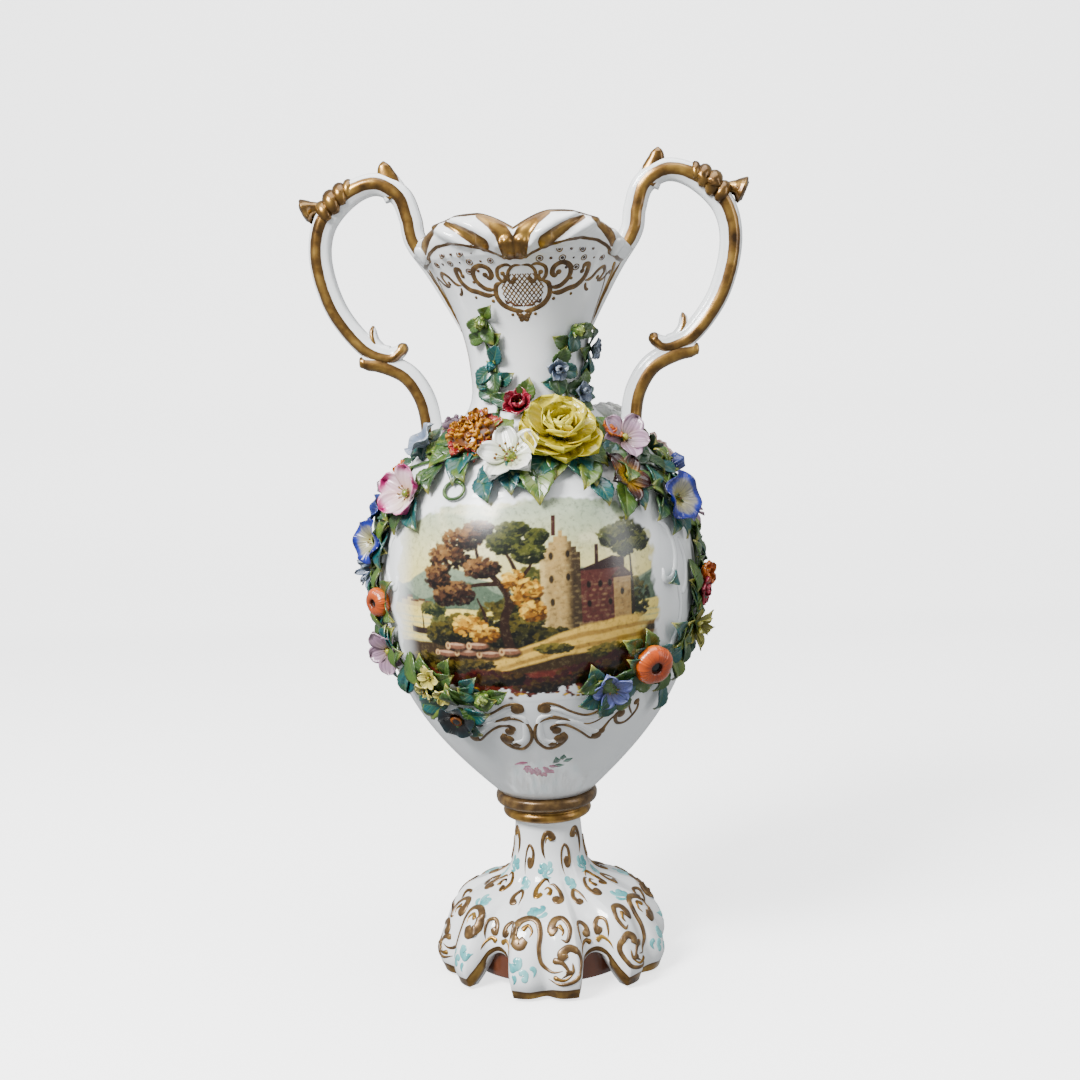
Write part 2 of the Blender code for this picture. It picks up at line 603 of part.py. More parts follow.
def leaf_place(sprig, turn, distance, sideways, lift):
    """A point over the body, at a distance from the sprig's middle in a direction."""
    up = distance * math.cos(turn) - sideways * math.sin(turn)
    across = distance * math.sin(turn) + sideways * math.cos(turn)
    share = min(1.0, max(0.0, sprig.share + up / SURFACE.lengths[-1]))
    radius = SURFACE.at(share)[0].x
    return on_body(math.radians(sprig.angle) + across / radius, share, lift)


def broadest(sprig, length):
    """Where a leaf is broadest, and half its width there."""
    calyx = CALYX_SHARE * sprig.radius
    place = calyx + LEAF_BROADEST * (length - calyx)
    return place, 0.5 * min(LEAF_WIDTH, LEAF_SLENDERNESS * length)


def crowded(sprig, turn, length, others):
    """Whether a leaf would meet another leaf of its own sprig."""
    place, half = broadest(sprig, length)
    for other_turn, other_length in others:
        other_place, other_half = broadest(sprig, other_length)
        between = abs(math.remainder(turn - other_turn, 2 * math.pi))
        if between * min(place, other_place) < half + other_half:
            return True
    return False


def free_length(sprig, turn, wish, taken):
    """How far a leaf can reach before it meets what is already in place."""
    step = 0.1 * LEAF_WIDTH
    clear = 0.0
    while clear < wish:
        distance = clear + step
        if distance > CALYX_SHARE * sprig.radius:
            here = leaf_place(sprig, turn, distance, 0.0, 0.0)
            half = 0.36 * LEAF_WIDTH
            for owner, place, radius in taken:
                if owner != sprig.name and (here - place).length < radius + half:
                    return clear
        clear = distance
    return wish


def bow_of(sprig, half_span):
    """How far the body bulges through a straight line across it."""
    return half_span ** 2 / (2 * SURFACE.at(sprig.share)[0].x)


def leaf_faces(shape, sprig, turn, length, corners):
    """A pointed leaf with a raised rib, drawn out of one side of the calyx along the body."""
    low_left, low_right, top_right, top_left = corners
    broad, half = broadest(sprig, length)
    low = 2 * CLEARANCE + bow_of(sprig, half) + bow_of(sprig, 0.5 * broad)
    left = shape.verts.new(leaf_place(sprig, turn, broad, -half, low))
    right = shape.verts.new(leaf_place(sprig, turn, broad, half, low))
    rib = shape.verts.new(leaf_place(sprig, turn, broad, 0.0, low + LEAF_THICKNESS))
    tip = shape.verts.new(leaf_place(sprig, turn, length, 0.0, low + LEAF_LIFT))
    for face in ((low_right, low_left, left, right), (low_left, top_left, rib, left),
                 (top_right, low_right, right, rib), (top_left, top_right, rib),
                 (left, rib, tip), (rib, right, tip), (right, left, tip)):
        shape.faces.new(face)


def make_sprig(sprig, leaves, material):
    """One bloom on its calyx, two points to a petal, with its leaves growing from the calyx."""
    angle = math.radians(sprig.angle)
    across, upwards, outwards = body_frame(angle, sprig.share)
    count = 2 * sprig.petals
    step_turn = 2 * math.pi / count
    calyx = CALYX_SHARE * sprig.radius
    calyx_low = CLEARANCE + bow_of(sprig, calyx)
    calyx_height = calyx_low + LEAF_THICKNESS
    centre = on_body(angle, sprig.share, calyx_height)
    shape = bmesh.new()
    loops = [[shape.verts.new(leaf_place(sprig, step * step_turn, calyx, 0.0, height))
              for step in range(count)] for height in (calyx_low, calyx_height)]
    for level in sprig.form:
        loop = []
        for step in range(count):
            turn = step * step_turn
            radius = sprig.radius * level.radius * (1.0 - level.parting * (step % 2))
            loop.append(shape.verts.new(
                centre + radius * (math.sin(turn) * across + math.cos(turn) * upwards)
                + level.height * sprig.height * outwards))
        loops.append(loop)
    heart = shape.verts.new(centre + HEART_SHARE * sprig.form[-1].height * sprig.height
                            * outwards)
    sides = {int(turn / step_turn) % count: (turn, length) for turn, length in leaves}
    for step in range(count):
        after = (step + 1) % count
        for level, (lower, upper) in enumerate(zip(loops, loops[1:])):
            corners = (lower[step], lower[after], upper[after], upper[step])
            if level == 0 and step in sides:
                leaf_faces(shape, sprig, *sides[step], corners)
            else:
                shape.faces.new(corners)
        shape.faces.new((loops[-1][step], loops[-1][after], heart))
    shape.faces.new(loops[0])
    bmesh.ops.recalc_face_normals(shape, faces=shape.faces)
    bmesh.ops.triangulate(shape, faces=shape.faces)
    return place_mesh(shape, sprig.name, material)


def plan_leaves():
    """Length of every leaf, shortened where a neighbour stands in its way."""
    taken = []
    for sprig in SPRIGS:
        place = on_body(math.radians(sprig.angle), sprig.share, 0.0)
        taken.append((sprig.name, place, 0.86 * sprig.radius))
    foot = SURFACE.radius_at(SHOULDER_HEIGHT) + HANDLE_SPREAD
    for side in (-1, 1):
        place = Vector((side * foot, 0.0, SHOULDER_HEIGHT - 0.3 * SCROLL_WIDTH))
        taken.append(("handle", place, 0.9 * SCROLL_WIDTH))
        for third in range(4):
            place = beside_neck(third / 3)
            taken.append(("handle", Vector((side * place.x, 0.0, place.y)), 0.52 * STRAP_DEPTH))
    plan = {}
    for sprig in SPRIGS:
        for degrees, wish in sprig.leaves:
            turn = math.radians(degrees)
            length = free_length(sprig, turn, wish, taken)
            own = plan.setdefault(sprig.name, [])
            if length < sprig.radius or crowded(sprig, turn, length, own):
                continue
            own.append((turn, length))
            for step in range(6):
                distance = (0.25 + 0.15 * step) * length
                taken.append((sprig.name, leaf_place(sprig, turn, distance, 0.0, 0.0),
                              0.36 * LEAF_WIDTH))
    return plan


def build():
    clear_scene()
    porcelain = finish("porcelain_glaze", PORCELAIN, 0.12)
    gilding = finish("antique_gilding", GILDING, 0.30, 0.9)
    make_body(porcelain)
    make_foot(porcelain)
    make_handle("handle_left", -1, gilding)
    make_handle("handle_right", 1, gilding)
    plan = plan_leaves()
    for sprig in SPRIGS:
        glaze = finish(sprig.name + "_glaze", sprig.colour, 0.35)
        make_sprig(sprig, plan[sprig.name], glaze)


build()
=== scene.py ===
import math

import bpy
import numpy as np
from mathutils import Matrix, Vector


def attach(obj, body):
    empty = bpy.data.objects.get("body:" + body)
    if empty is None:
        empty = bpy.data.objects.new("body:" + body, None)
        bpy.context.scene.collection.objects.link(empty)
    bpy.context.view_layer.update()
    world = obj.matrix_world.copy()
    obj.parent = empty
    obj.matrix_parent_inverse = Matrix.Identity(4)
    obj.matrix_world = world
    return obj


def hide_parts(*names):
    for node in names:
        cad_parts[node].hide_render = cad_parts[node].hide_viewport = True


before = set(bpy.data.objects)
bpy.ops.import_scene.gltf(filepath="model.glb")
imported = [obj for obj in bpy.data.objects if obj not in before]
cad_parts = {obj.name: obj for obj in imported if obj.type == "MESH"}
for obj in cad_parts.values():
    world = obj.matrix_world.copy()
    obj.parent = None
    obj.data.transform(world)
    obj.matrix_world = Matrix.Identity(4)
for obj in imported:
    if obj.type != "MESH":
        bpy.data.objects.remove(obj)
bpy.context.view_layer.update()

MM = 0.001

# The vase's main sizes, in metres: foot, body, lip and handles
FOOT_LOBES, LOBE_FLAT, LOBE_DENT = 6, 0.56, 0.003
BODY_BASE, BELLY_HEIGHT, SHOULDER_HEIGHT, WAIST_HEIGHT, RIM_HEIGHT = 0.08, 0.175, 0.242, 0.262, 0.317
BASE_RADIUS, BELLY_RADIUS, SHOULDER_RADIUS, WAIST_RADIUS, RIM_RADIUS = (
    0.0215, 0.0705, 0.04, 0.0252, 0.0455)
BODY_WALL, FLOOR_HEIGHT = 0.0038, 0.086
LIP_LOBE_RISE, LIP_CUSP_DROP, LIP_BULGE, LIP_EDGE = 0.0145, 0.0065, 0.004, 0.0022
HANDLE_REACH, STRAP_HALF, STRAP_DEEP, SCROLL_HALF = 0.0445, 0.0049, 0.0048, 0.0046


# Glazes
def table(text):
    """Rows of numbers, with a comma between two rows."""
    return [tuple(map(float, row.split())) for row in text.split(",")]


class NodeWork:
    """Puts nodes into a tree and feeds their sockets."""

    def __init__(self, tree):
        self.tree = tree

    def put(self, kind, feeds=None, **settings):
        """A node with its settings; feeds are values, sockets or nodes for its inputs."""
        node = self.tree.nodes.new(kind)
        for key, value in settings.items():
            setattr(node, key, value)
        for socket, value in (feeds or {}).items():
            self.feed(node.inputs[socket], value)
        return node

    def feed(self, socket, value):
        if isinstance(value, bpy.types.Node):
            value = value.outputs[0]
        if isinstance(value, bpy.types.NodeSocket):
            self.tree.links.new(value, socket)
        else:
            socket.default_value = (*value, 1.0) if socket.type == "RGBA" else value

    def math(self, operation, *values):
        return self.put("ShaderNodeMath", dict(enumerate(values)), operation=operation).outputs[0]

    def times(self, first, second):
        return self.math("MULTIPLY", first, second)


class Growth(NodeWork):
    """A geometry node tree that repeats a shape and ends in real geometry with a glaze on it."""

    def __init__(self, name, output, **inputs):
        super().__init__(bpy.data.node_groups.new(name, "GeometryNodeTree"))
        face = self.tree.interface
        for key, (kind, value) in inputs.items():
            socket = face.new_socket(key, in_out="INPUT", socket_type="NodeSocket" + kind)
            if value is not None:
                socket.default_value = value
        face.new_socket(output, in_out="OUTPUT", socket_type="NodeSocketGeometry")
        self.given = self.put("NodeGroupInput").outputs

    def chance(self, low, high, shift):
        seed = self.math("ADD", self.given["Seed"], shift)
        node = self.put("FunctionNodeRandomValue", {"Seed": seed}, data_type="FLOAT")
        for name, value in (("Min", low), ("Max", high)):
            self.feed(next(item for item in node.inputs if item.name == name and item.enabled), value)
        return next(item for item in node.outputs if item.enabled)

    def repeat(self, **feeds):
        """Sets the shape on the points, and ends the tree."""
        real = self.put("GeometryNodeRealizeInstances", {0: self.put("GeometryNodeInstanceOnPoints", feeds)})
        glazed = self.put("GeometryNodeSetMaterial", {"Geometry": real, "Material": self.given["Glaze"]})
        self.put("NodeGroupOutput", {0: glazed})
        return self.tree


class Glaze(NodeWork):
    """Builds one node material around its Principled shader."""

    def __init__(self, name, colour=(0.8, 0.8, 0.8), roughness=0.2, metallic=0.0, coat=0.0):
        self.material = bpy.data.materials.new(name)
        self.material.use_nodes = True
        super().__init__(self.material.node_tree)
        self.shade(Base_Color=colour, Roughness=roughness, Metallic=metallic, Coat_Weight=coat, Coat_Roughness=0.05)

    def shade(self, **feeds):
        """Feeds the shader's own sockets."""
        for socket, value in feeds.items():
            self.feed(self.tree.nodes["Principled BSDF"].inputs[socket.replace("_", " ")], value)

    def noise(self, scale, detail=3.0, stretch=None, rough=0.5):
        """Noise on the object's own coordinates."""
        place = self.put("ShaderNodeTexCoord").outputs["Object"]
        if stretch:
            place = self.put("ShaderNodeMapping", {"Vector": place, "Scale": stretch})
        return self.put("ShaderNodeTexNoise", {"Vector": place, "Scale": scale, "Detail": detail,
                "Roughness": rough}).outputs["Fac"]

    def uneven(self, value, scale, detail, amount):
        """A value that noise makes a little uneven."""
        return self.math("ADD", value, self.times(self.math("SUBTRACT", self.noise(scale, detail), 0.5), amount))

    def mark(self, name, kind="Fac"):
        return self.put("ShaderNodeAttribute", attribute_name=name).outputs[kind]

    def ramp(self, factor, *stops):
        """Colours at positions from 0 to 1."""
        node = self.put("ShaderNodeValToRGB", {"Fac": factor})
        elements = node.color_ramp.elements
        while len(elements) < len(stops):
            elements.new(0.5)
        for element, (place, colour) in zip(elements, stops):
            element.position, element.color = place, (*colour, 1.0)
        return node.outputs["Color"]

    def step(self, value, low, high):
        """0 below low, 1 above high."""
        return self.put("ShaderNodeMapRange", {"Value": value, "From Min": low, "From Max": high}).outputs["Result"]

    def blend(self, factor, first, second, how="MIX"):
        return self.put("ShaderNodeMix", {0: factor, 6: first, 7: second}, data_type="RGBA",
                blend_type=how).outputs[2]

    def bump(self, height, distance, strength=0.5):
        self.shade(Normal=self.put("ShaderNodeBump", {"Distance": distance, "Strength": strength, "Height": height}))

    def deep(self, colour, depth):
        return self.put("ShaderNodeGamma", {"Gamma": depth, "Color": colour}).outputs["Color"]

    def base(self, colour, depth=1.0):
        """The finish's colour, deepened by a power where it is above one."""
        self.shade(Base_Color=colour if depth == 1.0 else self.deep(colour, depth))


PORCELAIN = (0.8, 0.815, 0.82)
GOLD_LIGHT, GOLD_MID, GOLD_DARK = (0.46, 0.265, 0.055), (0.19, 0.096, 0.018), (0.048, 0.022, 0.005)


def porcelain_tone(glaze):
    """Cool white with the faint warm and grey clouds of an old glaze."""
    clouds = glaze.noise(38.0, 2.0)
    return glaze.ramp(clouds, (0.3, (0.755, 0.775, 0.785)), (0.55, PORCELAIN), (0.8, (0.845, 0.85, 0.845)))


def gold_tone(glaze):
    """Burnished gilding, mottled at random from light gold to dark: partly wear, partly painted shade and painted
    highlight standing in for the gold's reflections.
    """
    rub_and_shade = glaze.noise(120.0, 4.0)
    return glaze.ramp(rub_and_shade, (0.3, GOLD_DARK), (0.46, GOLD_MID), (0.7, GOLD_LIGHT))


def make_porcelain():
    glaze = Glaze("glazed_porcelain", roughness=0.16, coat=0.45)
    glaze.base(porcelain_tone(glaze))
    glaze.bump(glaze.noise(120.0, 2.0), 0.0006, 0.1)
    return glaze.material


def make_gilding():
    glaze = Glaze("antique_gilding", roughness=0.3, metallic=0.75, coat=0.15)
    glaze.base(gold_tone(glaze))
    glaze.bump(glaze.noise(420.0, 3.0), 0.0005, 0.3)
    return glaze.material


def make_dark_gilding():
    """The dark, browned gilding of lines and of the collar's upper ring, mottled at random: partly wear, partly
    painted shade and painted highlight.
    """
    glaze = Glaze("browned_gilding", roughness=0.34, metallic=0.45, coat=0.15)
    rub_and_shade = glaze.noise(260.0, 4.0)
    glaze.base(glaze.ramp(rub_and_shade, (0.22, (0.044, 0.022, 0.008)), (0.52, (0.125, 0.068, 0.022)),
            (0.86, (0.31, 0.185, 0.056))))
    glaze.bump(glaze.noise(420.0, 3.0), 0.0004, 0.25)
    return glaze.material


def make_gilded_porcelain():
    """Porcelain that is gilt wherever the piece's gilding mark is above nought, browner along the gilding's edges:
    partly the gilding's own dark edge, partly painted shade where raised gilding turns from the light.
    """
    glaze = Glaze("part_gilt_porcelain", roughness=0.2, coat=0.4)
    place = glaze.uneven(glaze.mark("gilding"), 300.0, 2.0, 0.5)
    edge = glaze.step(place, -0.1, 0.08)
    white = glaze.blend(glaze.step(place, -0.26, -0.02), porcelain_tone(glaze), (0.16, 0.085, 0.028))
    # Darker towards the gilding's edges: partly its own dark edge, partly painted shade.
    gilt_edge_and_shade = glaze.math("SUBTRACT", 1.0, glaze.step(place, 0.15, 1.5))
    gold = glaze.blend(glaze.times(gilt_edge_and_shade, 0.85), gold_tone(glaze), (0.085, 0.042, 0.013))
    glaze.base(glaze.blend(edge, white, gold))
    glaze.shade(Metallic=glaze.times(edge, 0.8), Roughness=glaze.math("ADD", 0.17, glaze.times(edge, 0.13)))
    glaze.bump(glaze.noise(220.0, 3.0), 0.0005, 0.18)
    return glaze.material


def make_enamel(name, light, dark, scale=160.0):
    """Thin enamel with the streaks of one brush stroke."""
    glaze = Glaze(name, roughness=0.22, coat=0.45)
    streak = glaze.noise(scale, 3.0, stretch=(1.0, 1.0, 0.35))
    glaze.base(glaze.ramp(streak, (0.34, dark), (0.62, light)), 1.25)
    glaze.bump(glaze.noise(300.0, 2.0), 0.0003, 0.15)
    return glaze.material


def make_petal_glaze(name, heart, body, edge, vein=0.25, split=(0.22, 0.62)):
    """A flower glaze from its heart to its edge, with fine veins and brushed unevenness."""
    glaze = Glaze(name, roughness=0.26, coat=0.35)
    reach = glaze.uneven(glaze.mark("reach"), 260.0, 3.0, 0.34)
    tone = glaze.ramp(reach, (0.02, heart), (split[0], [0.5 * (a + b) for a, b in zip(heart, body)]),
            (split[1], body), (0.97, edge))
    fold = glaze.math("SINE", glaze.times(glaze.mark("aside"), 17.0))
    tone = glaze.blend(glaze.times(glaze.step(fold, 0.2, 1.0), vein), tone, tuple(0.55 * part for part in body))
    patch = glaze.step(glaze.noise(90.0, 2.0), 0.35, 0.75)
    glaze.base(glaze.blend(glaze.times(patch, 0.22), tone, edge), 1.45)
    glaze.bump(fold, 0.0004, 0.25)
    return glaze.material


def make_leaf_glaze():
    """Leaves run from green through teal to yellow; each leaf's tint mark says how far."""
    glaze = Glaze("leaf_glaze", roughness=0.32, coat=0.22)
    tone = glaze.ramp(glaze.uneven(glaze.mark("tint"), 170.0, 3.0, 0.55),
            (0.04, (0.2, 0.24, 0.035)), (0.26, (0.085, 0.155, 0.03)), (0.46, (0.035, 0.085, 0.028)),
            (0.66, (0.01, 0.115, 0.115)), (0.9, (0.006, 0.055, 0.085)))
    tip = glaze.step(glaze.uneven(glaze.mark("reach"), 240.0, 2.0, 0.5), 0.8, 1.1)
    sides = glaze.math("SUBTRACT", glaze.times(glaze.mark("reach"), 7.0), glaze.times(glaze.mark("aside"), 1.7))
    lines = glaze.math("ABSOLUTE", glaze.math("SINE", glaze.times(sides, math.pi)))
    vein = glaze.math("MAXIMUM", glaze.step(lines, 0.3, 0.0), glaze.step(glaze.mark("aside"), 0.13, 0.02))
    glaze.base(glaze.blend(glaze.times(vein, 0.45), glaze.blend(tip, tone, (0.52, 0.44, 0.09)), (0.16, 0.22, 0.07)),
            1.25)
    glaze.bump(glaze.times(vein, -1.0), 0.0006, 0.45)
    return glaze.material


def make_picture_glaze():
    """The painted landscape: its colours are the piece's own, worked over with fine brushwork."""
    glaze = Glaze("painted_landscape", roughness=0.24, coat=0.08)
    dabs = glaze.noise(520.0, 4.0, rough=0.65)
    darker = glaze.blend(glaze.times(glaze.step(dabs, 0.52, 0.72), 0.35), glaze.mark("paint", "Color"),
            (0.05, 0.04, 0.03), "MULTIPLY")
    lighter = glaze.blend(glaze.times(glaze.step(dabs, 0.46, 0.28), 0.1), darker, (0.9, 0.85, 0.5), "SCREEN")
    glaze.base(glaze.blend(glaze.mark("cover"), porcelain_tone(glaze), glaze.deep(lighter, 1.45)))
    return glaze.material


# Shapes
class Shape:
    """Points, faces, a finish for each face and named marks on the points."""

    def __init__(self, points, faces, finish, marks=None, finishes=None):
        self.points = np.asarray(points, float).reshape(-1, 3)
        self.faces = [np.asarray(block, int) for block in (faces if isinstance(faces, list) else [faces])]
        self.marks = marks or {}
        self.finishes = finishes or [finish]
        self.kinds = [np.zeros(len(block), int) for block in self.faces]

    def moved(self, matrix):
        points = self.points @ np.array(matrix.to_3x3()).T + np.array(matrix.translation)
        copy = Shape(points, self.faces, None, dict(self.marks), self.finishes)
        copy.kinds = self.kinds
        return copy


def gathered(name, shapes, replaces=None):
    """One object of the scene from many shapes."""
    finishes = []
    for shape in shapes:
        for finish in shape.finishes:
            if finish not in finishes:
                finishes.append(finish)
    names = sorted({key for shape in shapes for key in shape.marks})
    points = np.concatenate([shape.points for shape in shapes])
    loops, totals, kinds = [], [], []
    offset = 0
    for shape in shapes:
        lookup = np.array([finishes.index(finish) for finish in shape.finishes])
        for block, kind in zip(shape.faces, shape.kinds):
            loops.append((block + offset).ravel())
            totals.append(np.full(len(block), block.shape[1]))
            kinds.append(lookup[kind])
        offset += len(shape.points)
    loops, totals, kinds = (np.concatenate(parts) for parts in (loops, totals, kinds))
    mesh = bpy.data.meshes.new(name)
    mesh.vertices.add(len(points))
    mesh.vertices.foreach_set("co", points.ravel())
    mesh.loops.add(len(loops))
    mesh.loops.foreach_set("vertex_index", loops)
    mesh.polygons.add(len(totals))
    mesh.polygons.foreach_set("loop_start", np.concatenate([[0], np.cumsum(totals)[:-1]]))
    mesh.polygons.foreach_set("material_index", kinds)
    mesh.polygons.foreach_set("use_smooth", np.full(len(totals), True))
    for finish in finishes:
        mesh.materials.append(finish)
    mesh.update(calc_edges=True)
    for key in names:
        wide = any(shape.marks[key].ndim == 2 for shape in shapes if key in shape.marks)
        values = [shape.marks.get(key, np.zeros((len(shape.points), 4) if wide else len(shape.points)))
                for shape in shapes]
        mark = mesh.attributes.new(key, "FLOAT_COLOR" if wide else "FLOAT", "POINT")
        mark.data.foreach_set("color" if wide else "value", np.concatenate(values).ravel())
    item = bpy.data.objects.new(name, mesh)
    bpy.context.scene.collection.objects.link(item)
    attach(item, "root")
    if replaces:
        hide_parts(replaces)
    return item


def round_angles(count):
    return np.linspace(0, 2 * math.pi, count, endpoint=False)


def grid_faces(rows, columns, closed=True):
    """Four-sided faces over rows of points."""
    r, c = np.meshgrid(np.arange(rows - 1), np.arange(columns if closed else columns - 1), indexing="ij")
    r, c = r.ravel(), c.ravel()
    r2, c2 = r + 1, (c + 1) % columns
    return np.stack([r * columns + c, r * columns + c2, r2 * columns + c2, r2 * columns + c], axis=1)


def capped_rows(points, finish, marks=None, kinds=None, finishes=None):
    """A closed skin over rows of points that run round; its two ends are drawn to a point."""
    rows, columns = points.shape[:2]
    middle = [points[0].mean(axis=0), points[-1].mean(axis=0)]
    quads = grid_faces(rows, columns)
    ring = np.arange(columns)
    after = (ring + 1) % columns
    start = np.stack([np.full(columns, rows * columns), after, ring], axis=1)
    last = (rows - 1) * columns
    end = np.stack([np.full(columns, rows * columns + 1), last + ring, last + after], axis=1)
    full_marks = {key: np.concatenate([value.ravel(), [value[0].mean(), value[-1].mean()]])
            for key, value in (marks or {}).items()}
    shape = Shape(np.concatenate([points.reshape(-1, 3), middle]), [quads, start, end], finish, full_marks, finishes)
    if kinds is not None:
        shape.kinds = [kinds.ravel(), np.full(columns, kinds[0, 0]), np.full(columns, kinds[-1, 0])]
    return shape


def leafed(top, thick, finish, marks):
    """A thin closed leaf or petal from a grid of points and the direction of its thickness."""
    rows, columns = top.shape[:2]
    under = top - thick
    faces = [grid_faces(rows, columns, False), grid_faces(rows, columns, False)[:, ::-1] + rows * columns]
    index = np.arange(rows * columns).reshape(rows, columns)
    rim = np.concatenate([index[0, :-1], index[:-1, -1], index[-1, :0:-1], index[:0:-1, 0]])
    after = np.roll(rim, -1)
    faces.append(np.stack([after, rim, rim + rows * columns, after + rows * columns], axis=1))
    both = {key: np.concatenate([value.ravel(), value.ravel()]) for key, value in marks.items()}
    return Shape(np.concatenate([top.reshape(-1, 3), under.reshape(-1, 3)]), np.concatenate(faces), finish, both)


def rounded_line(points, steps):
    """A line through every point, rounded between them."""
    points = np.asarray(points, float)
    padded = np.concatenate([[2 * points[0] - points[1]], points, [2 * points[-1] - points[-2]]])
    line = []
    for index in range(len(points) - 1):
        a, b, c, d = padded[index:index + 4]
        t = np.arange(steps)[:, None] / steps
        line.append(0.5 * (2 * b + (c - a) * t + (2 * a - 5 * b + 4 * c - d) * t ** 2
                + (3 * b - a - 3 * c + d) * t ** 3))
    return np.concatenate(line + [points[-1:]])


def along(count, *stations):
    """Values along a line, read between stations of (share of the line, value)."""
    return np.interp(np.linspace(0, 1, count), [s[0] for s in stations], [s[1] for s in stations])


def soft_step(value, low, high):
    t = np.clip((value - low) / (high - low), 0.0, 1.0)
    return t * t * (3 - 2 * t)


# The body's outline
def cubic(start, start_handle, end_handle, end):
    a, b = np.array(start), np.array(end)
    t = (np.arange(60) / 60)[:, None]
    return (a * (1 - t) ** 3 + (a + np.array(start_handle)) * 3 * t * (1 - t) ** 2
            + (b + np.array(end_handle)) * 3 * t ** 2 * (1 - t) + b * t ** 3)


def body_outline():
    base, belly = (BASE_RADIUS, BODY_BASE), (BELLY_RADIUS, BELLY_HEIGHT)
    shoulder, waist, rim = ((SHOULDER_RADIUS, SHOULDER_HEIGHT), (WAIST_RADIUS, WAIST_HEIGHT),
            (RIM_RADIUS, RIM_HEIGHT))
    rise, fall = BELLY_HEIGHT - BODY_BASE, SHOULDER_HEIGHT - BELLY_HEIGHT
    dip, flare = WAIST_HEIGHT - SHOULDER_HEIGHT, RIM_HEIGHT - WAIST_HEIGHT
    return np.concatenate([
        cubic(base, (0.53 * (BELLY_RADIUS - BASE_RADIUS), 0.263 * rise), (0.0, -0.474 * rise), belly),
        cubic(belly, (0.0, 0.552 * fall), (0.46 * (BELLY_RADIUS - SHOULDER_RADIUS), -0.127 * fall), shoulder),
        cubic(shoulder, (-0.47 * (SHOULDER_RADIUS - WAIST_RADIUS), 0.225 * dip), (0.0, -0.65 * dip), waist),
        cubic(waist, (0.0, 0.4 * flare), (-0.64 * (RIM_RADIUS - WAIST_RADIUS), -0.255 * flare), rim),
        [rim]])


OUTLINE = body_outline()
LENGTHS = np.concatenate([[0.0], np.cumsum(np.linalg.norm(np.diff(OUTLINE, axis=0), axis=1))])
TANGENTS = np.gradient(OUTLINE, LENGTHS, axis=0)
TANGENTS /= np.linalg.norm(TANGENTS, axis=1)[:, None]
TOTAL = LENGTHS[-1]


def turned(angle, radius, height):
    return np.stack(np.broadcast_arrays(radius * np.sin(angle), -radius * np.cos(angle), height), axis=-1)


def body_point(angle, length, lift=0.0):
    """Points over the body, at angles from the front and lengths up the outline."""
    radius = np.interp(length, LENGTHS, OUTLINE[:, 0])
    height = np.interp(length, LENGTHS, OUTLINE[:, 1])
    up_r = np.interp(length, LENGTHS, TANGENTS[:, 0])
    up_z = np.interp(length, LENGTHS, TANGENTS[:, 1])
    return turned(angle, radius + lift * up_z, height - lift * up_r)


def radius_at(height):
    return np.interp(height, OUTLINE[:, 1], OUTLINE[:, 0])


def length_at(height):
    return np.interp(height, OUTLINE[:, 1], LENGTHS)


class BodyChart:
    """Draws on the body: places are degrees from the front and millimetres up."""

    def place(self, degrees, height, lift=0.0):
        return body_point(np.radians(degrees), length_at(np.asarray(height) * MM), lift)

    def around(self, degrees, height, local):
        """Local millimetres, across and up the surface, as degrees and millimetres up."""
        length = length_at(height * MM) + local[:, 1] * MM
        radius = np.interp(length, LENGTHS, OUTLINE[:, 0])
        heights = np.interp(length, LENGTHS, OUTLINE[:, 1]) / MM
        return np.stack([degrees + np.degrees(local[:, 0] * MM / radius), heights], axis=1)


# The foot's surface
# From the stem down: radius and height on a lobe, radius and height in a notch, share of the dent
FOOT_STATIONS = np.array(table(""".0149 .064 .0149 .064 0, .01624 .0506 .01624 .0506 0,
    .02056 .0408 .0201 .0402 0, .0312 .0354 .0302 .034 .05, .0416 .0303 .0388 .0268 .3,
    .04836 .0204 .0416 .0196 .7, .052 .0085 .04131 .0162 1, .0495 0 .0405 .015 1"""))
FOOT_LINE = rounded_line(FOOT_STATIONS, 16)
FOOT_DOWN = np.concatenate([[0.0], np.cumsum(np.linalg.norm(np.diff(FOOT_LINE[:, :2], axis=0), axis=1))])
FOOT_LENGTH = FOOT_DOWN[-1]


def lobe_share(angle):
    """How far an angle is across half a lobe: 0 on the lobe's middle, 1 in the notch."""
    half = math.pi / FOOT_LOBES
    return np.abs((angle + half) % (2 * half) - half) / half


def notch_share(angle):
    """How far into a notch an angle is: 0 on a lobe, 1 in the notch's middle; the notch has a rounded head."""
    inward = np.clip((lobe_share(angle) - LOBE_FLAT) / (1.0 - LOBE_FLAT), 0.0, 1.0)
    return np.sqrt(1.0 - (1.0 - inward) ** 2.0) * (0.35 + 0.65 * soft_step(inward, 0.0, 0.45))


def foot_point(angle, down, lift=0.0):
    """Points on the foot, at lengths down a lobe's section from the stem's top."""
    down = np.clip(down, 0.0, FOOT_LENGTH)
    share = lobe_share(angle)
    parts = [np.interp(down, FOOT_DOWN, FOOT_LINE[:, column]) for column in range(5)]
    groove = np.exp(-(share / 0.16) ** 2)
    swell = np.sin(np.pi * np.clip(share / 0.86, 0.0, 1.0)) ** 2
    relief = (0.001 * swell - LOBE_DENT * groove) * parts[4]
    inward = notch_share(angle)
    radius = parts[0] + inward * (parts[2] - parts[0]) + relief
    height = parts[1] + inward * (parts[3] - parts[1])
    points = turned(angle, radius, height)
    if np.any(lift):
        points = points + foot_normal(angle, down) * np.asarray(lift)[..., None]
    return points


def foot_normal(angle, down):
    small_turn, small = 0.004, 0.0004
    across = foot_point(angle + small_turn, down) - foot_point(angle - small_turn, down)
    along_down = foot_point(angle, down + small) - foot_point(angle, down - small)
    normal = np.cross(along_down, across)
    return normal / np.maximum(np.linalg.norm(normal, axis=-1), 1e-12)[..., None]


